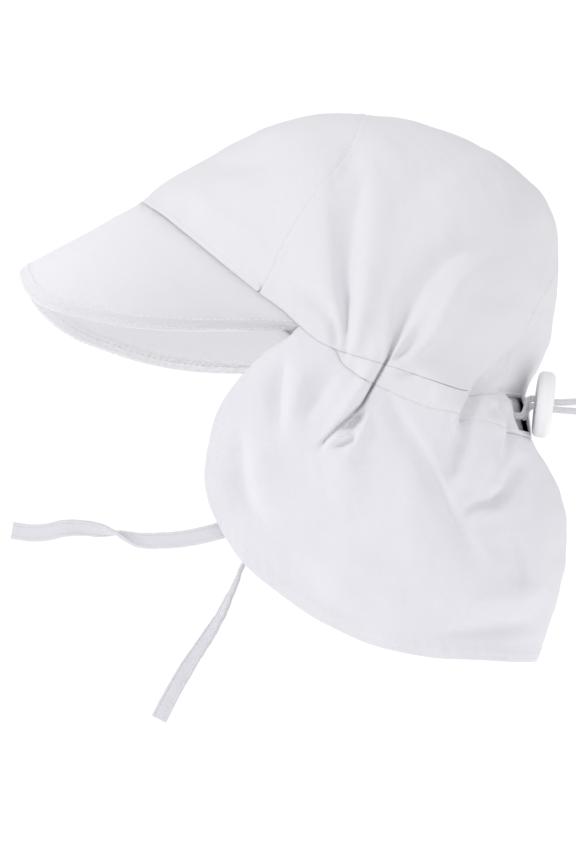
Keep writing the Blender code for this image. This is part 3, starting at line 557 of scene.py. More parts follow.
def grid_faces(rows, cols, base, turned):
    """Quads of a grid of points."""
    index = np.arange(rows * cols).reshape(rows, cols) + base
    quads = np.stack([index[:-1, :-1], index[:-1, 1:], index[1:, 1:], index[1:, :-1]], axis=-1).reshape(-1, 4)
    if turned:
        quads = quads[:, ::-1]
    return quads.tolist()


def cloth(name, node, outer, inner, paint):
    """A closed sheet between two fine grids that stands for a node of the model."""
    rows, cols = outer.shape[:2]
    count = rows * cols
    across, down = runs(outer)
    uv = np.stack([np.broadcast_to(across[rows // 2], (rows, cols)), down], axis=-1).reshape(-1, 2)
    points = np.concatenate([outer.reshape(-1, 3), inner.reshape(-1, 3)])
    faces = grid_faces(rows, cols, 0, True) + grid_faces(rows, cols, count, False)
    index = np.arange(count).reshape(rows, cols)
    ring = list(index[0, :-1]) + list(index[:-1, -1]) + list(index[-1, :0:-1]) + list(index[:0:-1, 0])
    for a, b in zip(ring, ring[1:] + ring[:1]):
        faces.append([int(a), int(b), int(b) + count, int(a) + count])
    item = grown(name, points, faces, np.concatenate([uv, uv]), paint)
    face_outward(item.data)
    settle(item, node)


def settle(item, node):
    """The piece rides with the hat, and stands for a node where one is named."""
    if node:
        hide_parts(node)
    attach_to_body(item, "root")


def stitches(name, line, normal, pitch=0.0027, share=0.74, thread=0.00017, lift=0.00001):
    """A row of sewn stitches along a line on the cloth."""
    run = lengths(line)
    count = max(2, int(run[-1] / pitch))
    sides, rings = 6, 5
    start = (np.arange(count) + 0.5 * (1 - share)) * run[-1] / count
    points, faces = [], []
    for first in start:
        at = first + np.linspace(0, share * run[-1] / count, rings)
        middle = np.stack([np.interp(at, run, line[:, i]) for i in range(3)], axis=1)
        face = unit(np.stack([np.interp(at, run, normal[:, i]) for i in range(3)], axis=1))
        way = unit(np.gradient(middle, axis=0))
        side = unit(np.cross(way, face))
        body = np.sin(np.linspace(0.12, 0.88, rings) * math.pi) ** 0.5
        middle = middle + face * (lift - 0.0003 * (1 - body))[:, None]
        turn = np.linspace(0, 2 * math.pi, sides, endpoint=False)
        base = len(points)
        for r in range(rings):
            spokes = np.cos(turn)[:, None] * side[r] + 0.7 * np.sin(turn)[:, None] * face[r]
            points.extend(middle[r] + thread * body[r] * spokes)
        faces += tube_faces(base, rings, sides) + end_faces(base, rings, sides)
    item = grown(name, points, faces, None, thread_paint)
    settle(item, None)


def sew(name, line, outward):
    """A row of stitches along a line, on the face of the cloth that looks the outward way."""
    way = unit(np.gradient(line, axis=0))
    normal = unit(outward - way * np.sum(outward * way, axis=1, keepdims=True))
    stitches(name, line, normal)


def surface_line(grid, distance, from_end=False, sides=(0, 1)):
    """The points of a grid at a distance down its columns, from its first or its last row."""
    table = grid[::-1] if from_end else grid
    down = runs(table)[1]
    line = np.array([[np.interp(distance, down[:, j], table[:, j, i]) for i in range(3)]
                     for j in range(table.shape[1])])
    first, last = (int(round(s * (len(line) - 1))) for s in sides)
    return line[first:last + 1]


# Materials
def node(tree, kind, links=(), **values):
    """A node of a material with its values and its links."""
    made = tree.nodes.new(kind)
    for name, value in values.items():
        if name in made.inputs:
            made.inputs[name].default_value = value
        else:
            setattr(made, name, value)
    for name, source in dict(links).items():
        tree.links.new(source, made.inputs[name])
    return made


def blank_paint(name):
    """A new material, with its nodes and its shader."""
    paint = bpy.data.materials.new(name)
    paint.use_nodes = True
    return paint, paint.node_tree, paint.node_tree.nodes["Principled BSDF"]


def shaded(tree, shader, factor, colour, shade):
    """Gives the shader its colour, darker by the shade where the factor is low."""
    tint = node(tree, "ShaderNodeMix", data_type="RGBA")
    tree.links.new(factor, tint.inputs[0])
    tint.inputs[6].default_value = (*(c * (1 - shade) for c in colour), 1.0)
    tint.inputs[7].default_value = (*colour, 1.0)
    tree.links.new(tint.outputs[2], shader.inputs["Base Color"])


def cotton(name, colour, pitch=0.00042, weave=0.00003, shade=0.035, tape=False, glow=0.0):
    """Woven cotton: crossed threads with slubs, faint unevenness of tone, and a soft sheen of fibres."""
    paint, tree, shader = blank_paint(name)
    place = node(tree, "ShaderNodeTexCoord")
    uv = place.outputs["UV"]
    solid = place.outputs["Object"]
    rate = 2 * math.pi / (20 * pitch)
    slub = node(tree, "ShaderNodeTexNoise", {"Vector": uv}, Scale=900.0, Detail=2.0)
    warp = node(tree, "ShaderNodeTexWave", {"Vector": uv}, wave_type="BANDS", bands_direction="X",
                Scale=rate, Distortion=1.2)
    weft = node(tree, "ShaderNodeTexWave", {"Vector": uv}, wave_type="BANDS",
                bands_direction="DIAGONAL" if tape else "Y", Scale=rate, Distortion=1.2)
    cross = node(tree, "ShaderNodeMath", {0: warp.outputs["Fac"], 1: weft.outputs["Fac"]},
                 operation="MULTIPLY")
    mixed = node(tree, "ShaderNodeMath", {0: cross.outputs[0], 1: slub.outputs["Fac"],
                                          2: slub.outputs["Fac"]}, operation="MULTIPLY_ADD")
    soft = node(tree, "ShaderNodeTexNoise", {"Vector": solid}, Scale=60.0, Detail=4.0, Roughness=0.6)
    fine = node(tree, "ShaderNodeTexNoise", {"Vector": solid}, Scale=420.0, Detail=3.0, Roughness=0.6)
    first = node(tree, "ShaderNodeBump", {"Height": soft.outputs["Fac"]}, Strength=0.35, Distance=0.0012)
    second = node(tree, "ShaderNodeBump", {"Height": fine.outputs["Fac"], "Normal": first.outputs["Normal"]},
                  Strength=0.35, Distance=0.00012)
    third = node(tree, "ShaderNodeBump", {"Height": mixed.outputs[0], "Normal": second.outputs["Normal"]},
                 Strength=0.15 if tape else 0.6, Distance=weave)
    tree.links.new(third.outputs["Normal"], shader.inputs["Normal"])
    blend = node(tree, "ShaderNodeMath", {0: soft.outputs["Fac"], 1: cross.outputs[0]}, operation="ADD")
    shaded(tree, shader, blend.outputs[0], colour, shade)
    shader.inputs["Roughness"].default_value = 0.92
    shader.inputs["Specular IOR Level"].default_value = 0.25
    shader.inputs["Sheen Weight"].default_value = 0.12
    shader.inputs["Sheen Roughness"].default_value = 0.6
    shader.inputs["Subsurface Weight"].default_value = glow
    shader.inputs["Subsurface Radius"].default_value = (1.0, 1.0, 1.0)
    shader.inputs["Subsurface Scale"].default_value = 0.03
    return paint


def plastic(name, colour):
    """Moulded satin plastic, faintly uneven."""
    paint, tree, shader = blank_paint(name)
    place = node(tree, "ShaderNodeTexCoord")
    grain = node(tree, "ShaderNodeTexNoise", {"Vector": place.outputs["Object"]}, Scale=900.0, Detail=3.0)
    rise = node(tree, "ShaderNodeBump", {"Height": grain.outputs["Fac"]}, Strength=0.25, Distance=0.00006)
    tree.links.new(rise.outputs["Normal"], shader.inputs["Normal"])
    shaded(tree, shader, grain.outputs["Fac"], colour, 0.03)
    shader.inputs["Roughness"].default_value = 0.42
    return paint


crown_paint = cotton("crown_cotton", (0.800, 0.785, 0.815))
# The peak's cotton is the crown's white cloth painted darker: painted shade that offsets the light its
# subsurface scattering lets through.
peak_paint_with_painted_shade = cotton("peak_cotton_painted_shade", (0.680, 0.655, 0.705), glow=1.0)
casing_paint = cotton("casing_cotton", (0.800, 0.785, 0.815))
flap_paint = cotton("flap_cotton", (0.800, 0.782, 0.818))
tie_paint = cotton("tape_cotton", (0.735, 0.715, 0.752), pitch=0.0005, weave=0.00001, tape=True)
thread_paint = cotton("sewing_thread", (0.830, 0.820, 0.845), pitch=0.0004, weave=0.00002)
braid_paint = cotton("braid_yarn", (0.840, 0.830, 0.860), pitch=0.0004, weave=0.00002)
stopper_paint = plastic("stopper_plastic", (0.950, 0.945, 0.955))


# Pieces: the gap between cloths, and the ways in from an edge of its round, stitches, bands and rows
fine_gap = 0.00003
lip = np.array((0.0, 0.00006, 0.0002, 0.0006))
edge_round = 0.00018
crown_peak_row = 0.0030
crown_over_row = 0.0022
peak_rows = (0.0016, 0.0058)
peak_band = 0.0062
flap_hem = 0.0060
flap_hem_row = 0.0012
ends_left = (0.01, 0.99)


def eased(count, length):
    """Shares from 0 to 1, evenly spaced but close together at both ends."""
    near = lip / length
    return np.concatenate([near, np.linspace(near[-1], 1 - near[-1], count)[1:-1], 1 - near[::-1]])


def crowded(first, last, count, crowding=1.6, reach=0.06):
    """Stations of the low edge, closer together at the pinches and at both ends."""
    fine = np.linspace(first, last, 6001)
    pinches = (low.marks["pinch"], 2 - low.marks["pinch"])
    near = sum(np.exp(-((fine - pinch) / reach) ** 2) for pinch in pinches)
    run = np.cumsum(1 + crowding * near)
    run = (run - run[0]) / (run[-1] - run[0])
    return np.interp(eased(count, abs(last - first) / low.per_metre), run, fine)


def thinned(wall, distance):
    """Thickness of the wall near a rounded edge."""
    radius = min(wall / 2, edge_round)
    inside = np.clip(distance / radius, 0, 1)
    return wall * np.maximum(np.sqrt(1 - (1 - inside) ** 2), 0.12)


def crown_front_grid(rows=96, cols=230):
    """The front panel's form, from the seam over the crown down to the low edge."""
    side = 0.99 * (2 * eased(cols, 0.25) - 1)
    seam = seam_over(side)
    edge = low.at(side * low.marks["seam foot"])
    share = eased(rows, 0.075)[:, None, None]
    return on_crown(seam * (1 - share) + edge * share)


def make_crown_front():
    """The front panel with its seam over the crown and the one at the peak."""
    grid = crown_front_grid()
    across, down = runs(grid)
    up = down[-1:] - down
    relief = sewn(down, across, 1.0) + sewn(up, across, 2.0, crown_peak_row)
    normal = crown_normal(grid)
    outer = grid + normal * (relief - crease_depth(grid) + rumple(grid))[..., None]
    wall = thinned(crown_wall, np.minimum(down, up))
    cloth("crown_front_panel", "crown_front", outer, outer - normal * wall[..., None], crown_paint)
    line = surface_line(outer, crown_peak_row, True, (0.02, 0.98))
    sew("stitch_crown_peak", line, crown_normal(line))
    line = surface_line(outer, crown_over_row, False, (0.03, 0.97))
    sew("stitch_crown_over", line, crown_normal(line))


def side_grid(first, last, seam_side, rows=124, cols=214):
    """A back panel's form, between the seam over the crown, the back seam and the low edge."""
    share = eased(rows, 0.11)
    front = seam_over(seam_side * share)
    back = seam_back(share)
    station = crowded(first, last, cols)
    edge = low.at(station)
    s = ((station - first) / (last - first))[None, :, None]
    t = share[:, None, None]
    ruled = front[:, None] * (1 - s) + back[:, None] * s
    lofted = front[0] * (1 - t) + edge[None] * t
    corners = (1 - t) * front[0] + t * ((1 - s) * front[-1] + s * back[-1])
    return on_crown(ruled + lofted - corners)


def make_crown_side(name, node_name, sign, first, last, seed):
    """A back panel with the relief of its three seams."""
    grid = side_grid(first, last, sign)
    if sign < 0:
        grid = grid[:, ::-1]
    across, down = runs(grid)
    ahead, behind = (across, across[:, -1:] - across) if sign > 0 else (across[:, -1:] - across, across)
    up = down[-1:] - down
    relief = sewn(ahead, down, seed) + sewn(behind, down, seed + 1) + sewn(up, across, seed + 2)
    top = np.clip(down / 0.010, 0, 1)
    normal = crown_normal(grid)
    outer = grid + normal * (relief * top - crease_depth(grid) + rumple(grid))[..., None]
    wall = thinned(crown_wall, np.minimum(np.minimum(ahead, behind), up))
    cloth(name, node_name, outer, outer - normal * wall[..., None], crown_paint)
    line = outer[6:, -4 if sign > 0 else 3]
    sew(name + "_stitches", line, crown_normal(line))


def peak_grid(rows=84, cols=250):
    """The peak's arched form, with the crown's normals where it starts."""
    side = np.linspace(-1, 1, cols)
    station = side * (low.marks["peak end"] - 0.002)
    start, normal, _ = low_frame(station)
    edge = peak_edge_points(side)
    share = eased(rows, 0.056)[:, None, None]
    grid = start * (1 - share) + edge * share
    aside = np.abs(side)[None, :, None]
    bow = (4 * share * (1 - share)) * peak_arch * (0.2 + 2.6 * aside * (1 - aside))
    return grid + grid_normal(grid, normal) * bow, normal, side


def peak_edge_points(side):
    """Outer edge of the peak: -1 at its right end, 0 at the tip, 1 at its left end."""
    front = low.at(0.0)
    rows = [(r.across * half_width, front[1] - r.ahead * peak_reach, front[2] - r.drop * peak_drop)
            for r in peak_edge]
    knots, points = mirrored(rows)
    edge = hermite(knots, points, side)
    skew = np.clip(-edge[..., 0] / half_width, 0, 1)
    edge[..., 1] -= peak_skew * skew * (2 - skew)
    return edge


def make_peak():
    """The faced peak: its hem band is sewn twice, and a soft roll runs along its edge."""
    grid, normal, side = peak_grid()
    face = grid_normal(grid, normal)
    end = np.clip((np.abs(side) - 0.8) / 0.2, 0, 1)[:, None]
    face = unit(face * (1 - end) + normal * end)
    face[:4] = normal
    across, down = runs(grid)
    out = down[-1:] - down
    relief = sewn(down, across, 5.0) * (1 - end[:, 0])
    relief = relief + 0.00016 * waver(grid, 0.03, 11) * np.clip(down / 0.01, 0, 1)
    relief = relief + 0.00018 * np.exp(-down / 0.003)
    start = np.clip(down / 0.006, 0, 1)
    roll = -0.0011 * np.clip(1 - out / 0.0060, 0, 1) ** 2
    top = relief + (0.0003 * step_down(out, peak_band, 0.0006) + roll) * start
    grooves = sum(bump(out, row, 0.0004) for row in peak_rows)
    under = 0.00022 * grooves - pucker(out, across, 0.0032, 0.0034, 0.00050, 7.0)
    attach = np.clip(down / 0.004, 0, 1)
    outer = grid + face * (top + (rumple(grid) - crease_depth(grid)) * (1 - attach) - 0.00012 * grooves
                           + pucker(out, across, 0.0032, 0.0034, 0.00010, 6.0))[..., None]
    wall = thinned(peak_wall, out)
    inner = outer - face * (wall - under * attach)[..., None]
    cloth("peak_faced", "peak", outer, inner, peak_paint_with_painted_shade)
    for k, far in enumerate(peak_rows):
        line = surface_line(outer, far, True, ends_left)
        away = line - surface_line(outer - face * 0.001, far, True, ends_left)
        sew("stitch_peak_top_%d" % k, line, away)
        line = surface_line(inner, far, True, ends_left)
        sew("stitch_peak_under_%d" % k, line, -away)


def casing_way(station):
    """0 at the casing's ends, 1 at the middle of the back."""
    end = low.marks["casing end"]
    return np.clip((1 - np.abs(np.asarray(station) - 1)) / (1 - end) - end / (1 - end), 0, 1)


def casing_size(station):
    """Height of the casing at a station of the low edge."""
    way = casing_way(station)
    grown_in = np.clip(way / 0.05, 0, 1)
    height = hermite([r.way for r in casing_rows], [r.height for r in casing_rows], way)
    return casing_height * height * grown_in * grown_in * (3 - 2 * grown_in) + 0.0001


def near_mouth(station):
    """1 at the mouth of the casing, falling to 0 away from it."""
    return np.exp(-((station - mouth_station) * 0.5 / (mouth_width * low.per_metre)) ** 2)


def under_line(station):
    """Where the flap meets the casing, or the crown ahead of it."""
    fine = np.linspace(low.marks["peak end"] - 0.02, 2.02 - low.marks["peak end"], 1600)
    point, _, down = low_frame(fine)
    line = on_crown(point + down * (2 * fine_gap + casing_size(fine))[:, None])
    kernel = np.exp(-np.linspace(-2.5, 2.5, 41) ** 2)
    padded = np.concatenate([line[:1].repeat(20, axis=0), line, line[-1:].repeat(20, axis=0)])
    smooth = np.stack([np.convolve(padded[:, i], kernel / kernel.sum(), "valid") for i in range(3)], axis=1)
    return np.stack([np.interp(station, fine, smooth[:, i]) for i in range(3)], axis=-1)


def make_casing(steps=500, count=26):
    """The gathered tunnel: one tube inside another, with a mouth through its outer wall at the back."""
    end = low.marks["casing end"]
    station = crowded(end, 2 - end, steps)
    steps = len(station)
    point, normal, down = low_frame(station)
    size = casing_size(station)
    upper = point + down * fine_gap - normal * crown_wall / 2
    lower = under_line(station) - down * fine_gap - normal * crown_wall / 2
    middle = (upper + lower) / 2
    fall = lower - upper
    tall = np.linalg.norm(fall, axis=1)
    fall = unit(fall)
    face = unit(normal - fall * np.sum(normal * fall, axis=1, keepdims=True))
    mouth = near_mouth(station)
    full = np.minimum(1.0, size / (0.5 * casing_height))
    phase = station * casing_gathers * math.pi + 1.3 * np.sin(station * 23) + 0.8 * np.sin(station * 51)
    gather = (np.cos(phase) + 0.45 * np.cos(2.3 * phase + 1)) * (1 - 0.7 * mouth) * full * 0.00045
    turn = np.linspace(0, 2 * math.pi, count, endpoint=False)
    turn = turn - 0.35 * np.sin(2 * turn)
    rings = []
    for grow in (0.0, casing_wall):
        out = np.maximum(0.55 * casing_swell * full - grow, 0.00025)
        back = np.maximum(casing_inset * full + mouth_puff * mouth - grow, 0.0002)
        up = np.sin(turn)[None, :]
        depth = np.where(up > 0, out[:, None], back[:, None]) * np.abs(up) ** 0.3 * np.sign(up)
        slant = np.cos(turn)[None, :]
        wave = gather[:, None] * np.where(up > 0, 1, -0.6) * (1 - 0.75 * slant ** 6)
        half = (tall / 2 - grow)[:, None]
        ring = middle[:, None] - fall[:, None] * (half * slant)[..., None]
        ring = ring + face[:, None] * (depth + wave)[..., None]
        rings.append(ring - normal[:, None] * (crease_depth(ring) - rumple(ring))[..., None])
    outer, inner = rings[0], rings[1][3:-3]
    place = low.at(mouth_station)
    mid = int(np.argmin(np.linalg.norm(outer.mean(axis=1) - place, axis=1)))
    pitch = np.linalg.norm(outer[mid + 1].mean(axis=0) - outer[mid].mean(axis=0))
    half = int(round(mouth_width / pitch / 2))
    first, last = mid - half, mid + half
    low_hole, high_hole = int(count * 0.12), int(count * 0.36)
    points = np.concatenate([outer.reshape(-1, 3), inner.reshape(-1, 3)])
    base = steps * count
    inner_rings = steps - 6
    faces = tube_faces(0, steps, count, (first, last, low_hole, high_hole)) + end_faces(0, steps, count)
    turned = tube_faces(base, inner_rings, count, (first - 3, last - 3, low_hole, high_hole))
    faces += [face[::-1] for face in turned + end_faces(base, inner_rings, count)]
    rim = [(j, low_hole) for j in range(first, last)] + [(last, k) for k in range(low_hole, high_hole)]
    rim += [(j, high_hole) for j in range(last, first, -1)]
    rim += [(first, k) for k in range(high_hole, low_hole, -1)]
    for (j, k), (m, n) in zip(rim, rim[1:] + rim[:1]):
        faces.append([j * count + k, m * count + n, base + (m - 3) * count + n, base + (j - 3) * count + k])
    run = lengths(middle)
    around = np.arange(count) / count * 0.03
    uv = np.stack(np.broadcast_arrays(run[:, None], around), axis=-1)
    uv = np.concatenate([uv.reshape(-1, 2), uv[3:-3].reshape(-1, 2)])
    item = grown("casing_gathered", points, faces, uv, casing_paint)
    face_outward(item.data)
    settle(item, "drawstring_casing")
    for k, place in enumerate((0.10, 0.90)):
        index = int(np.argmin(np.abs((1 - np.cos(turn[:count // 2])) / 2 - place)))
        line = outer[12:-12, index]
        sew("stitch_casing_%d" % k, line, normal[12:-12])


def flap_edge_points(side):
    """Free edge of the flap: -1 at its right front end, 0 at the back, 1 at its left front end."""
    rows = [(r.across * half_width, r.along * half_length, -r.depth * flap_depth) for r in flap_edge]
    knots, points = mirrored(rows[::-1])
    edge = hermite(knots, points, side)
    far = np.clip(-edge[..., 0] / (0.4 * half_width), 0, 1) * np.clip(-edge[..., 2] / flap_depth, 0, 1)
    edge[..., 2] += flap_skew * far
    return edge


def flap_grid(rows=116, cols=404):
    """Outer face of the flap, its rows running from the top edge down to the free edge."""
    end = low.marks["peak end"]
    station = crowded(end, 2 - end, cols)[::-1]
    normal = low_frame(station)[1]
    top = under_line(station)
    side = (1 - station) / (1 - end)
    edge = flap_edge_points(side)
    share = eased(rows, 0.09)
    t = share[:, None, None]
    grid = top * (1 - t) + edge * t
    swell = hermite([r.way for r in flap_swells], [r.swell for r in flap_swells], np.abs(side))
    belly = np.sin(math.pi * share ** 0.85)[:, None] * swell[None] * flap_swell
    outward = unit(grid * (1, 1, 0))
    grid = grid + outward * belly[..., None]
    wave = flap_hem_wave * np.cos(2 * math.pi * flap_hem_waves * side)[None] * (share ** 3)[:, None]
    return grid + outward * wave[..., None], normal, side, outward


def make_flap():
    """The neck flap with its hem, puckers and folds."""
    grid, normal, side, outward = flap_grid()
    face = grid_normal(grid, outward)
    end = np.clip((np.abs(side) - 0.80) / 0.12, 0, 1)[:, None]
    face = unit(face * (1 - end) + normal * end)
    face[:4] = normal
    across, down = runs(grid)
    out = down[-1:] - down
    joined = np.clip(down / 0.004, 0, 1)
    low_part = np.clip((-grid[..., 2] - 0.078) / 0.032, 0.12, 1)
    hem = hemmed(out, across, flap_hem, 9.0) * joined * low_part
    relief = hem + sewn(down, across, 8.0) * (1 - end[:, 0])
    outer = grid + face * (relief - crease_depth(grid) + 1.3 * rumple(grid))[..., None]
    wall = thinned(flap_wall, np.minimum(out, down + 0.0002))
    inner = outer - face * (wall - 0.4 * hem)[..., None]
    cloth("flap_cloth", "flap", outer, inner, flap_paint)
    for k, far in enumerate((flap_hem_row, flap_hem - flap_hem_row)):
        line = surface_line(outer, far, True, ends_left)
        away = line - surface_line(outer - face * 0.001, far, True, ends_left)
        sew("stitch_flap_%d" % k, line, away)


def make_tie(name, node_name, rows, sign, forward):
    """A folded tape: thin along its middle, fuller at its two sewn edges, with a cut end."""
    root = np.array((sign * tie_root_across * half_width, tie_root_along * half_length,
                     -tie_root_depth * flap_depth))
    root[0] -= sign * (flap_wall + tie_wall + tie_clearance)
    line = np.array([(r.left, -r.ahead, r.rise) for r in rows]) * tie_length + root
    run = lengths(line)
    at = np.linspace(0, run[-1], 200)
    middle = hermite(run, line, at)
    roll = np.radians(hermite(run, [r.roll for r in rows], at))[:, None]
    tangent = unit(np.gradient(middle, axis=0))
    level = unit(np.cross(tangent, (0.0, 0.0, 1.0) if forward else (0.0, 1.0, 0.0)))
    rise = np.cross(level, tangent)
    wide = rise * np.cos(roll) + level * np.sin(roll)
    thick = np.cross(tangent, wide)
    share = np.linspace(-1, 1, 33)
    half = tie_width / 2
    body = 0.5 + 0.32 * bump(np.abs(share), 0.82, 0.16) - 0.16 * bump(np.abs(share), 0.62, 0.06)
    body = body * np.sqrt(np.clip(1 - (np.maximum(np.abs(share) - 0.86, 0) / 0.14) ** 2, 0.02, 1))
    fray = 0.00012 * np.sin(at / 0.0009)[:, None] * bump(np.abs(share), 1.0, 0.2)[None]
    grid = middle[:, None] + wide[:, None] * (half * share)[None, :, None]
    cup = 0.0003 * (1 - share ** 2)
    grid = grid + thick[:, None] * (cup[None] + 0.00012 * waver(grid, 0.012, 21) + fray)[..., None]
    wall = (tie_wall * body)[None, :, None]
    cloth(name, node_name, grid + thick[:, None] * wall, grid - thick[:, None] * wall, tie_paint)
    for k, place in enumerate((5, 27)):
        for turn in (1, -1):
            seam = grid[:, place] + thick * turn * tie_wall * body[place]
            stitches("%s_stitch_%d%s" % (name, k, "a" if turn > 0 else "b"), seam, thick * turn,
                     pitch=0.0022, thread=0.00014)


def stopper_frame():
    """Middle of the stopper, its axis, which the cord follows, its rise and its side."""
    mouth, _, down = low_frame(np.array([mouth_station]))
    turn = math.radians(stopper_turn)
    axis = Vector((-math.sin(turn), math.cos(turn), 0.0))
    side = Vector((math.cos(turn), math.sin(turn), 0.0))
    rise = Vector((0.0, 0.0, 1.0))
    tilt = math.radians(stopper_tilt)
    axis, rise = axis * math.cos(tilt) - rise * math.sin(tilt), rise * math.cos(tilt) + axis * math.sin(tilt)
    place = Vector(mouth[0] + down[0] * casing_height * 0.22)
    out = casing_swell + stopper_standoff + stopper_thickness / 2
    return place + axis * out, axis, rise, side


def make_stopper():
    """The round stopper, turned from a soft-edged profile with a shallow dish round the cord's slot."""
    middle, axis, rise, side = (np.array(v) for v in stopper_frame())
    radius, half, soft = stopper_diameter / 2, stopper_thickness / 2, stopper_edge
    rows = [(0.0, half - 0.0007), (0.0030, half - 0.0007), (0.0040, half - 0.0004), (0.0050, half - 0.00005),
            (0.0060, half), (radius - 1.4 * soft, half)]
    for k in range(1, 13):
        angle = math.pi / 2 * k / 12
        rows.append((radius - soft + soft * math.sin(angle), half - soft + soft * math.cos(angle)))
    rows.append((radius, 0.0))
    rows = rows + [(r, -h) for r, h in reversed(rows[:-1])]
    sides = 96
    points = []
    for r, h in rows:
        for k in range(sides):
            turn = 2 * math.pi * k / sides
            points.append(middle + axis * h + (rise * math.cos(turn) + side * math.sin(turn)) * max(r, 1e-5))
    faces = tube_faces(0, len(rows), sides) + end_faces(0, len(rows), sides)
    item = grown("stopper_disc", points, faces, None, stopper_paint)
    face_outward(item.data)
    cut_slot(item, middle, axis, rise, side)
    settle(item, "cord_stopper")


def cord_pitch():
    """Distance between the middles of the two runs of cord in the stopper."""
    return cord_diameter + seam_gap


def cut_slot(item, middle, axis, rise, side):
    """A slot with round ends through the stopper, which takes the two runs of cord."""
    sides = 32
    radius = cord_diameter / 2 + cord_clearance
    points = []
    for h in (-stopper_thickness, stopper_thickness):
        for k in range(sides):
            angle = 2 * math.pi * (k + 0.5) / sides
            shift = math.copysign(cord_pitch() / 2, math.sin(angle))
            spoke = rise * (radius * math.sin(angle) + shift) + side * radius * math.cos(angle)
            points.append(tuple(middle + spoke + axis * h))
    mesh = bpy.data.meshes.new("cutter")
    mesh.from_pydata(points, [], tube_faces(0, 2, sides) + end_faces(0, 2, sides))
    cutter = link(mesh, "cutter")
    face_outward(mesh)
    cut = item.modifiers.new("hole", "BOOLEAN")
    cut.operation = "DIFFERENCE"
    cut.solver = "EXACT"
    cut.object = cutter
    graph = bpy.context.evaluated_depsgraph_get()
    done = bpy.data.meshes.new_from_object(item.evaluated_get(graph))
    item.modifiers.clear()
    old = item.data
    item.data = done
    bpy.data.meshes.remove(old)
    bpy.data.objects.remove(cutter, do_unlink=True)
    bpy.data.meshes.remove(mesh)


def casing_frame(station):
    """Middle of the casing at a station, and its outward normal."""
    point, normal, down = low_frame(station)
    upper = point + down * seam_gap - normal * crown_wall / 2
    lower = on_crown(point + down * (seam_gap + casing_size(station))) - normal * crown_wall / 2
    return (upper + lower) / 2, normal


def cord_route():
    """Middle line of the drawcord: in the casing, out of its mouth, through the stopper and back."""
    middle, axis, rise = (np.array(v) for v in stopper_frame()[:3])
    face = stopper_thickness / 2 + cord_diameter / 2
    apart = rise * cord_pitch() / 2
    lift = rise * cord_loop_length * 0.10
    rows = []
    for sign in (1, -1):
        inside = [casing_frame(mouth_station - sign * share * cord_inside * low.per_metre)
                  for share in (1.0, 0.6, 0.22)]
        leg = [place - normal * crease_depth(place) for place, normal in inside]
        leg[2] = leg[2] + inside[2][1] * casing_swell * 0.6
        leg += [middle - axis * (face + 0.3 * cord_diameter) + sign * apart * 1.1]
        leg += [middle + sign * apart, middle + axis * face + sign * apart]
        leg += [middle + axis * (face + 0.45 * cord_loop_length) + sign * apart * 1.5 + lift * 0.5]
        leg += [middle + axis * (face + 0.86 * cord_loop_length) + sign * apart * 2.1 + lift]
        rows.append(leg if sign > 0 else leg[::-1])
    tip = middle + axis * (face + cord_loop_length) + rise * cord_loop_length * 0.11
    return np.array(rows[0] + [tip] + rows[1])


def make_cord():
    """The drawcord as a flat open braid of fine yarns that cross over and under."""
    route = cord_route()
    run = lengths(route)
    steps = 420
    at = np.linspace(0, run[-1], steps)
    middle = hermite(run, route, at)
    way = unit(np.gradient(middle, axis=0))
    rise = np.array(stopper_frame()[2])
    wide = unit(rise - way * np.sum(way * rise, axis=1, keepdims=True))
    thick = np.cross(way, wide)
    yarns, sides, yarn, lay_length, flat = 12, 6, 0.00020, 0.0085, 0.55
    reach = cord_diameter / 2 - yarn
    points, faces = [], []
    for k in range(yarns):
        hand = 1 if k % 2 else -1
        phase = 2 * math.pi * (k // 2) / (yarns // 2)
        angle = hand * 2 * math.pi * at / lay_length + phase
        weave = 1 + hand * 0.07 * np.cos(yarns / 2 * angle)
        path = middle + wide * (reach * np.cos(angle) * weave)[:, None]
        path = path + thick * (flat * reach * np.sin(angle) * weave)[:, None]
        along = unit(np.gradient(path, axis=0))
        out = unit(path - middle)
        out = unit(out - along * np.sum(out * along, axis=1, keepdims=True))
        across = np.cross(along, out)
        base = len(points)
        for s in range(steps):
            for q in range(sides):
                a = 2 * math.pi * q / sides
                points.append(path[s] + yarn * (1.5 * across[s] * math.cos(a) + out[s] * math.sin(a)))
        faces += tube_faces(base, steps, sides) + end_faces(base, steps, sides)
    item = grown("drawcord_braid", points, faces, None, braid_paint)
    settle(item, "drawcord")


foot = low.marks["seam foot"]
back = low.marks["back seam"]
make_crown_front()
make_crown_side("crown_left_panel", "crown_left", 1, foot, back, 21.0)
make_crown_side("crown_right_panel", "crown_right", -1, 2 - foot, back, 31.0)
make_peak()
make_casing()
make_flap()
make_tie("tie_left_tape", "tie_left", tie_left_rows, 1, True)
make_tie("tie_right_tape", "tie_right", tie_right_rows, -1, False)
make_stopper()
make_cord()


# Room, lights and camera
def make_floor(reach=6.0):
    """A plain pale floor."""
    mesh = bpy.data.meshes.new("floor")
    corners = ((-1, -1), (1, -1), (1, 1), (-1, 1))
    mesh.from_pydata([(reach * x, reach * y, floor_height) for x, y in corners], [], [[0, 1, 2, 3]])
    paint, _, shader = blank_paint("floor_pale")
    shader.inputs["Base Color"].default_value = (0.93, 0.93, 0.93, 1.0)
    shader.inputs["Roughness"].default_value = 0.9
    mesh.materials.append(paint)
    link(mesh, "floor")


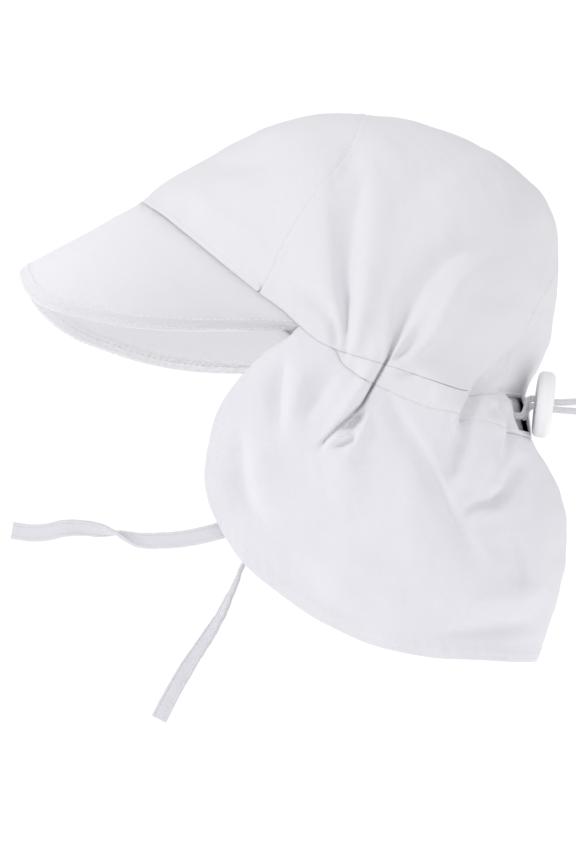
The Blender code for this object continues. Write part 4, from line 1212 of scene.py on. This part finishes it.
def make_light(name, way, distance, size, power, colour=(1.0, 1.0, 1.0)):
    """A soft square light that looks at the hat from a way off."""
    data = bpy.data.lights.new(name, "AREA")
    data.size = size
    data.energy = power
    data.color = colour
    item = bpy.data.objects.new(name, data)
    way = Vector(way).normalized()
    item.location = way * distance
    item.rotation_euler = way.to_track_quat("Z", "Y").to_euler()
    item.visible_camera = False
    bpy.context.scene.collection.objects.link(item)


def make_world(strength, seen):
    """Plain studio white, seen brighter than it lights."""
    world = bpy.data.worlds.new("studio")
    world.use_nodes = True
    bpy.context.scene.world = world
    tree = world.node_tree
    light = tree.nodes["Background"]
    light.inputs["Color"].default_value = (0.97, 0.98, 1.0, 1.0)
    light.inputs["Strength"].default_value = strength
    back = tree.nodes.new("ShaderNodeBackground")
    back.inputs["Color"].default_value = (1.0, 1.0, 1.0, 1.0)
    back.inputs["Strength"].default_value = seen
    path = tree.nodes.new("ShaderNodeLightPath")
    mix = tree.nodes.new("ShaderNodeMixShader")
    tree.links.new(path.outputs["Is Camera Ray"], mix.inputs[0])
    tree.links.new(light.outputs[0], mix.inputs[1])
    tree.links.new(back.outputs[0], mix.inputs[2])
    tree.links.new(mix.outputs[0], tree.nodes["World Output"].inputs["Surface"])


def make_camera():
    """The camera at the photograph's angle, in front of the wearer's left."""
    data = bpy.data.cameras.new("camera")
    data.sensor_fit = "VERTICAL"
    data.sensor_height = 36.0
    data.lens = 36.0 * camera_distance / (picture[1] * metres_per_pixel)
    data.clip_end = 100.0
    item = bpy.data.objects.new("camera", data)
    frame_matrix = Matrix((camera_right, camera_up, camera_back)).transposed().to_4x4()
    frame_matrix.translation = Vector(camera_target + camera_back * camera_distance)
    item.matrix_world = frame_matrix
    bpy.context.scene.collection.objects.link(item)
    bpy.context.scene.camera = item


make_floor()
key_way = camera_back * 0.50 - camera_right * 0.76 + camera_up * 0.45
make_light("key", key_way, 2.2, 0.6, 14.0)
make_light("fill", camera_back * 0.48 + camera_right * 0.86 + camera_up * 0.12, 2.2, 1.4, 6.0)
make_light("floor bounce", -camera_up, 0.42, 1.6, 3.4)
make_world(0.77, 1.05)
make_camera()
view = bpy.context.scene.view_settings
view.view_transform = "Standard"
view.look = "None"
